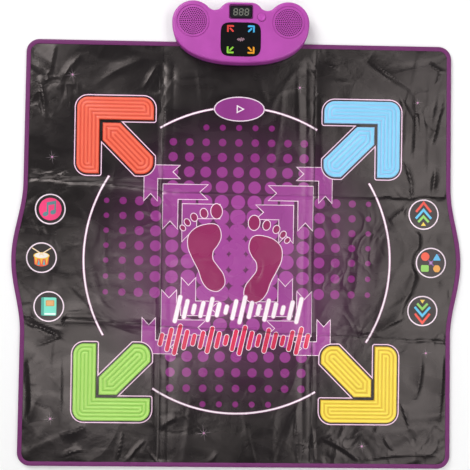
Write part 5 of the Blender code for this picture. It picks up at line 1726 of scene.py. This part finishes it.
class BuildMarks(bpy.types.Operator):
    """Lay the figures on the display, and a bar mark and light arrows on the panel"""

    bl_idname = "dance_mat.build_marks"
    bl_label = "Figures and mark"

    def execute(self, context):
        places, digit_height = (-0.0108, 0.0002, 0.0112), 0.0124
        figures = [loop for x in places
                   for loop in segment_digit(x, middle_of("digit_display")[1], digit_height)]
        console_print("display_figures", figures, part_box("digit_display")[1][2], 0.00013,
                      moulded_finish("figure_print", "d9dccb", 0.4, 0.1))
        bars = [from_mat_top(bar((index - 3) * 0.0021, -0.001, 0.0011, height / 1000))
                for index, height in enumerate((3.0, 5.5, 4.0, 8.0, 5.0, 6.5, 3.5))]
        console_print("panel_mark", bars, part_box("panel_window")[1][2], 0.00006,
                      moulded_finish("mark_print", "b98fa0", 0.4, 0.05))
        for (colour, code), quarter in zip(LENS_COLOURS.items(), QUARTERS):
            self.light_arrow(colour, code, quarter)
        return {'FINISHED'}

    def light_arrow(self, colour, glow, quarter):
        """A small arrow in two parts, like the pads', over one of the panel's lenses."""
        low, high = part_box(f"{colour}_lens")
        share = (high[0] - low[0]) / ARROW_SIZE
        side, end = QUARTERS[quarter]
        corner = Vector((high[0] if side > 0 else low[0], high[1] if end > 0 else low[1]))
        outer = Vector(from_corner(quarter, [(0.0, 0.0)])[0])
        halves = [[tuple(corner + (Vector(point) - outer) * share)
                   for point in to_quarter(quarter, outline)]
                  for outline in (chevron_outline(-0.004, 4), stem_outline(-0.007, 4))]
        console_print(f"{colour}_light_arrow", halves, high[2], 0.00010,
                      lens_finish(f"{colour}_glow", glow))


class DressFittings(bpy.types.Operator):
    """Give every carried-over node of the console its finish"""

    bl_idname = "dance_mat.dress_fittings"
    bl_label = "Fittings"

    def execute(self, context):
        moulded = (
            # The base's colour is darker than the shell, as painted shade on the console's front
            # wall
            ("console_bottom battery_door", "base_satin", context.scene.dance_mat_console.base,
             0.42, 0.5, 1500.0),
            ("digit_display", "module_face", "2a2b30", 0.45, 0.3),
            ("foot_left foot_right", "foot_rubber", "2c2a2b", 0.75, 0.8, 900.0),
            ("case_screw_front_left case_screw_rear_left case_screw_front_right "
             "case_screw_rear_right", "plated_steel", "b9bcc0", 0.28, 0.25, 900.0, 1.0),
            ("battery_1 battery_2 battery_3", "cell_jacket", "3b3f46", 0.3, 0.1),
            ("main_board", "board_resist", "1f6b3c", 0.38, 0.3),
            ("button_switch left_speaker right_speaker", "black_moulding", "1c1b1d", 0.5, 0.6,
             1200.0),
            ("flex_tail", "tail_film", "c6a25a", 0.3, 0.15),
        )
        windows = (("display_window", "display_smoke", "101014", 0.30),
                   ("panel_window", "panel_gloss", "0c0b0e", 1.0),
                   ("red_lens blue_lens green_lens orange_lens", "lens_gloss", "0c0b0e", 1.0))
        for kind, rows in ((moulded_finish, moulded), (smoked_finish, windows)):
            for names, *values in rows:
                finish = kind(*values)
                for name in names.split():
                    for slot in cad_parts[name].material_slots:
                        slot.material = finish
        return {'FINISHED'}


# Stage

def stage_object(name, kind, **settings):
    """What one of Blender's add operators makes, under a name of its own."""
    deselect()
    kind(**settings)
    made = bpy.context.object
    made.name = name
    return made


def soft_light(name, place, aim, size, power):
    """A rectangular area light turned to a place."""
    turn = (Vector(aim) - Vector(place)).to_track_quat('-Z', 'Y').to_euler()
    light = stage_object(name, bpy.ops.object.light_add, type='AREA', location=place,
                         rotation=turn)
    light.data.shape = 'RECTANGLE'
    light.data.size, light.data.size_y = size
    light.data.energy = power
    return light


def floor_finish(colour):
    """A pale floor that passes into plain white far from the mat."""
    material, inputs, _ = new_material("pale_floor")
    tree = material.node_tree
    place = node(tree, "TexCoord")["Object"]
    put(inputs["Base Color"], blend_colour(grain(place, 3.0, 1.0), colour, scaled(colour, 0.995)))
    put(inputs["Roughness"], 0.9)
    far = node(tree, "VectorMath", {0: place}, operation='LENGTH')["Value"]
    glow = node(tree, "Emission", {"Color": (1.0, 1.0, 1.0)})
    mix = node(tree, "MixShader", {0: spread(far, 0.75, 1.6),
                                   1: Wire(tree.nodes["Principled BSDF"]), 2: glow})
    put(tree.nodes["Material Output"].inputs["Surface"], mix)
    return material


class BuildStage(bpy.types.Operator):
    """Set up the camera, the soft lights and the pale floor"""

    bl_idname = "dance_mat.build_stage"
    bl_label = "Stage"

    def execute(self, context):
        scene = context.scene
        settings = scene.dance_mat_stage
        camera = stage_object("view_camera", bpy.ops.object.camera_add, location=settings.eye,
                              rotation=settings.turn)
        camera.data.sensor_width = 36.0
        camera.data.lens = settings.lens
        scene.camera = camera
        lights = [soft_light("key_light", (-1.3, 1.7, 2.0), (0.0, 0.0, 0.0), (1.6, 1.2),
                             settings.key),
                  soft_light("right_light", (1.0, -0.1, 1.7), (1.0, -0.1, 0.0), (1.0, 2.0),
                             settings.overhead),
                  soft_light("left_light", (-0.68, -0.52, 1.7), (-0.68, -0.52, 0.0), (1.0, 0.56),
                             settings.overhead * 0.40)]
        floor = stage_object("floor", bpy.ops.mesh.primitive_plane_add, size=12.0,
                             location=(0.0, 0.0, -0.0002))
        floor.data.materials.append(floor_finish(settings.floor))
        scene.world = bpy.data.worlds.new("even_sky")
        scene.world.use_nodes = True
        sky = scene.world.node_tree
        background = sky.nodes["Background"].inputs
        put(background["Color"], (1.0, 1.0, 1.0))
        aim = node(sky, "SeparateXYZ", {"Vector": node(sky, "TexCoord")["Generated"]})
        put(background["Strength"], spread(aim[2], 0.06, 0.50, 1.0, settings.sky))
        scene.view_settings.view_transform = 'Standard'
        return {'FINISHED'}


# Add-on

OPERATORS = (BuildLayers, BuildCover, BuildTape, BuildPads, BuildDiscs, BuildConsole,
             BuildButton, BuildMarks, DressFittings, BuildStage)
SETTINGS = {"dance_mat_cover": CoverSettings, "dance_mat_pads": PadSettings,
            "dance_mat_console": ConsoleSettings, "dance_mat_stage": StageSettings}


class DanceMatPanel(bpy.types.Panel):
    """Lists the dance mat's build steps and settings"""

    bl_idname = "VIEW3D_PT_dance_mat"
    bl_label = "Dance mat"
    bl_space_type = 'VIEW_3D'
    bl_region_type = 'UI'
    bl_category = "Dance mat"

    def draw(self, context):
        for group, kind in SETTINGS.items():
            box = self.layout.box()
            for name in kind.__annotations__:
                box.prop(getattr(context.scene, group), name)
        for operator in OPERATORS:
            self.layout.operator(operator.bl_idname)


def register():
    for kind in (*SETTINGS.values(), *OPERATORS, DanceMatPanel):
        bpy.utils.register_class(kind)
    for group, kind in SETTINGS.items():
        setattr(bpy.types.Scene, group, bpy.props.PointerProperty(type=kind))


def unregister():
    for group in SETTINGS:
        delattr(bpy.types.Scene, group)
    for kind in reversed((*SETTINGS.values(), *OPERATORS, DanceMatPanel)):
        bpy.utils.unregister_class(kind)


def main():
    register()
    for operator in OPERATORS:
        group, name = operator.bl_idname.split(".")
        getattr(getattr(bpy.ops, group), name)()


if __name__ == "__main__":
    main()
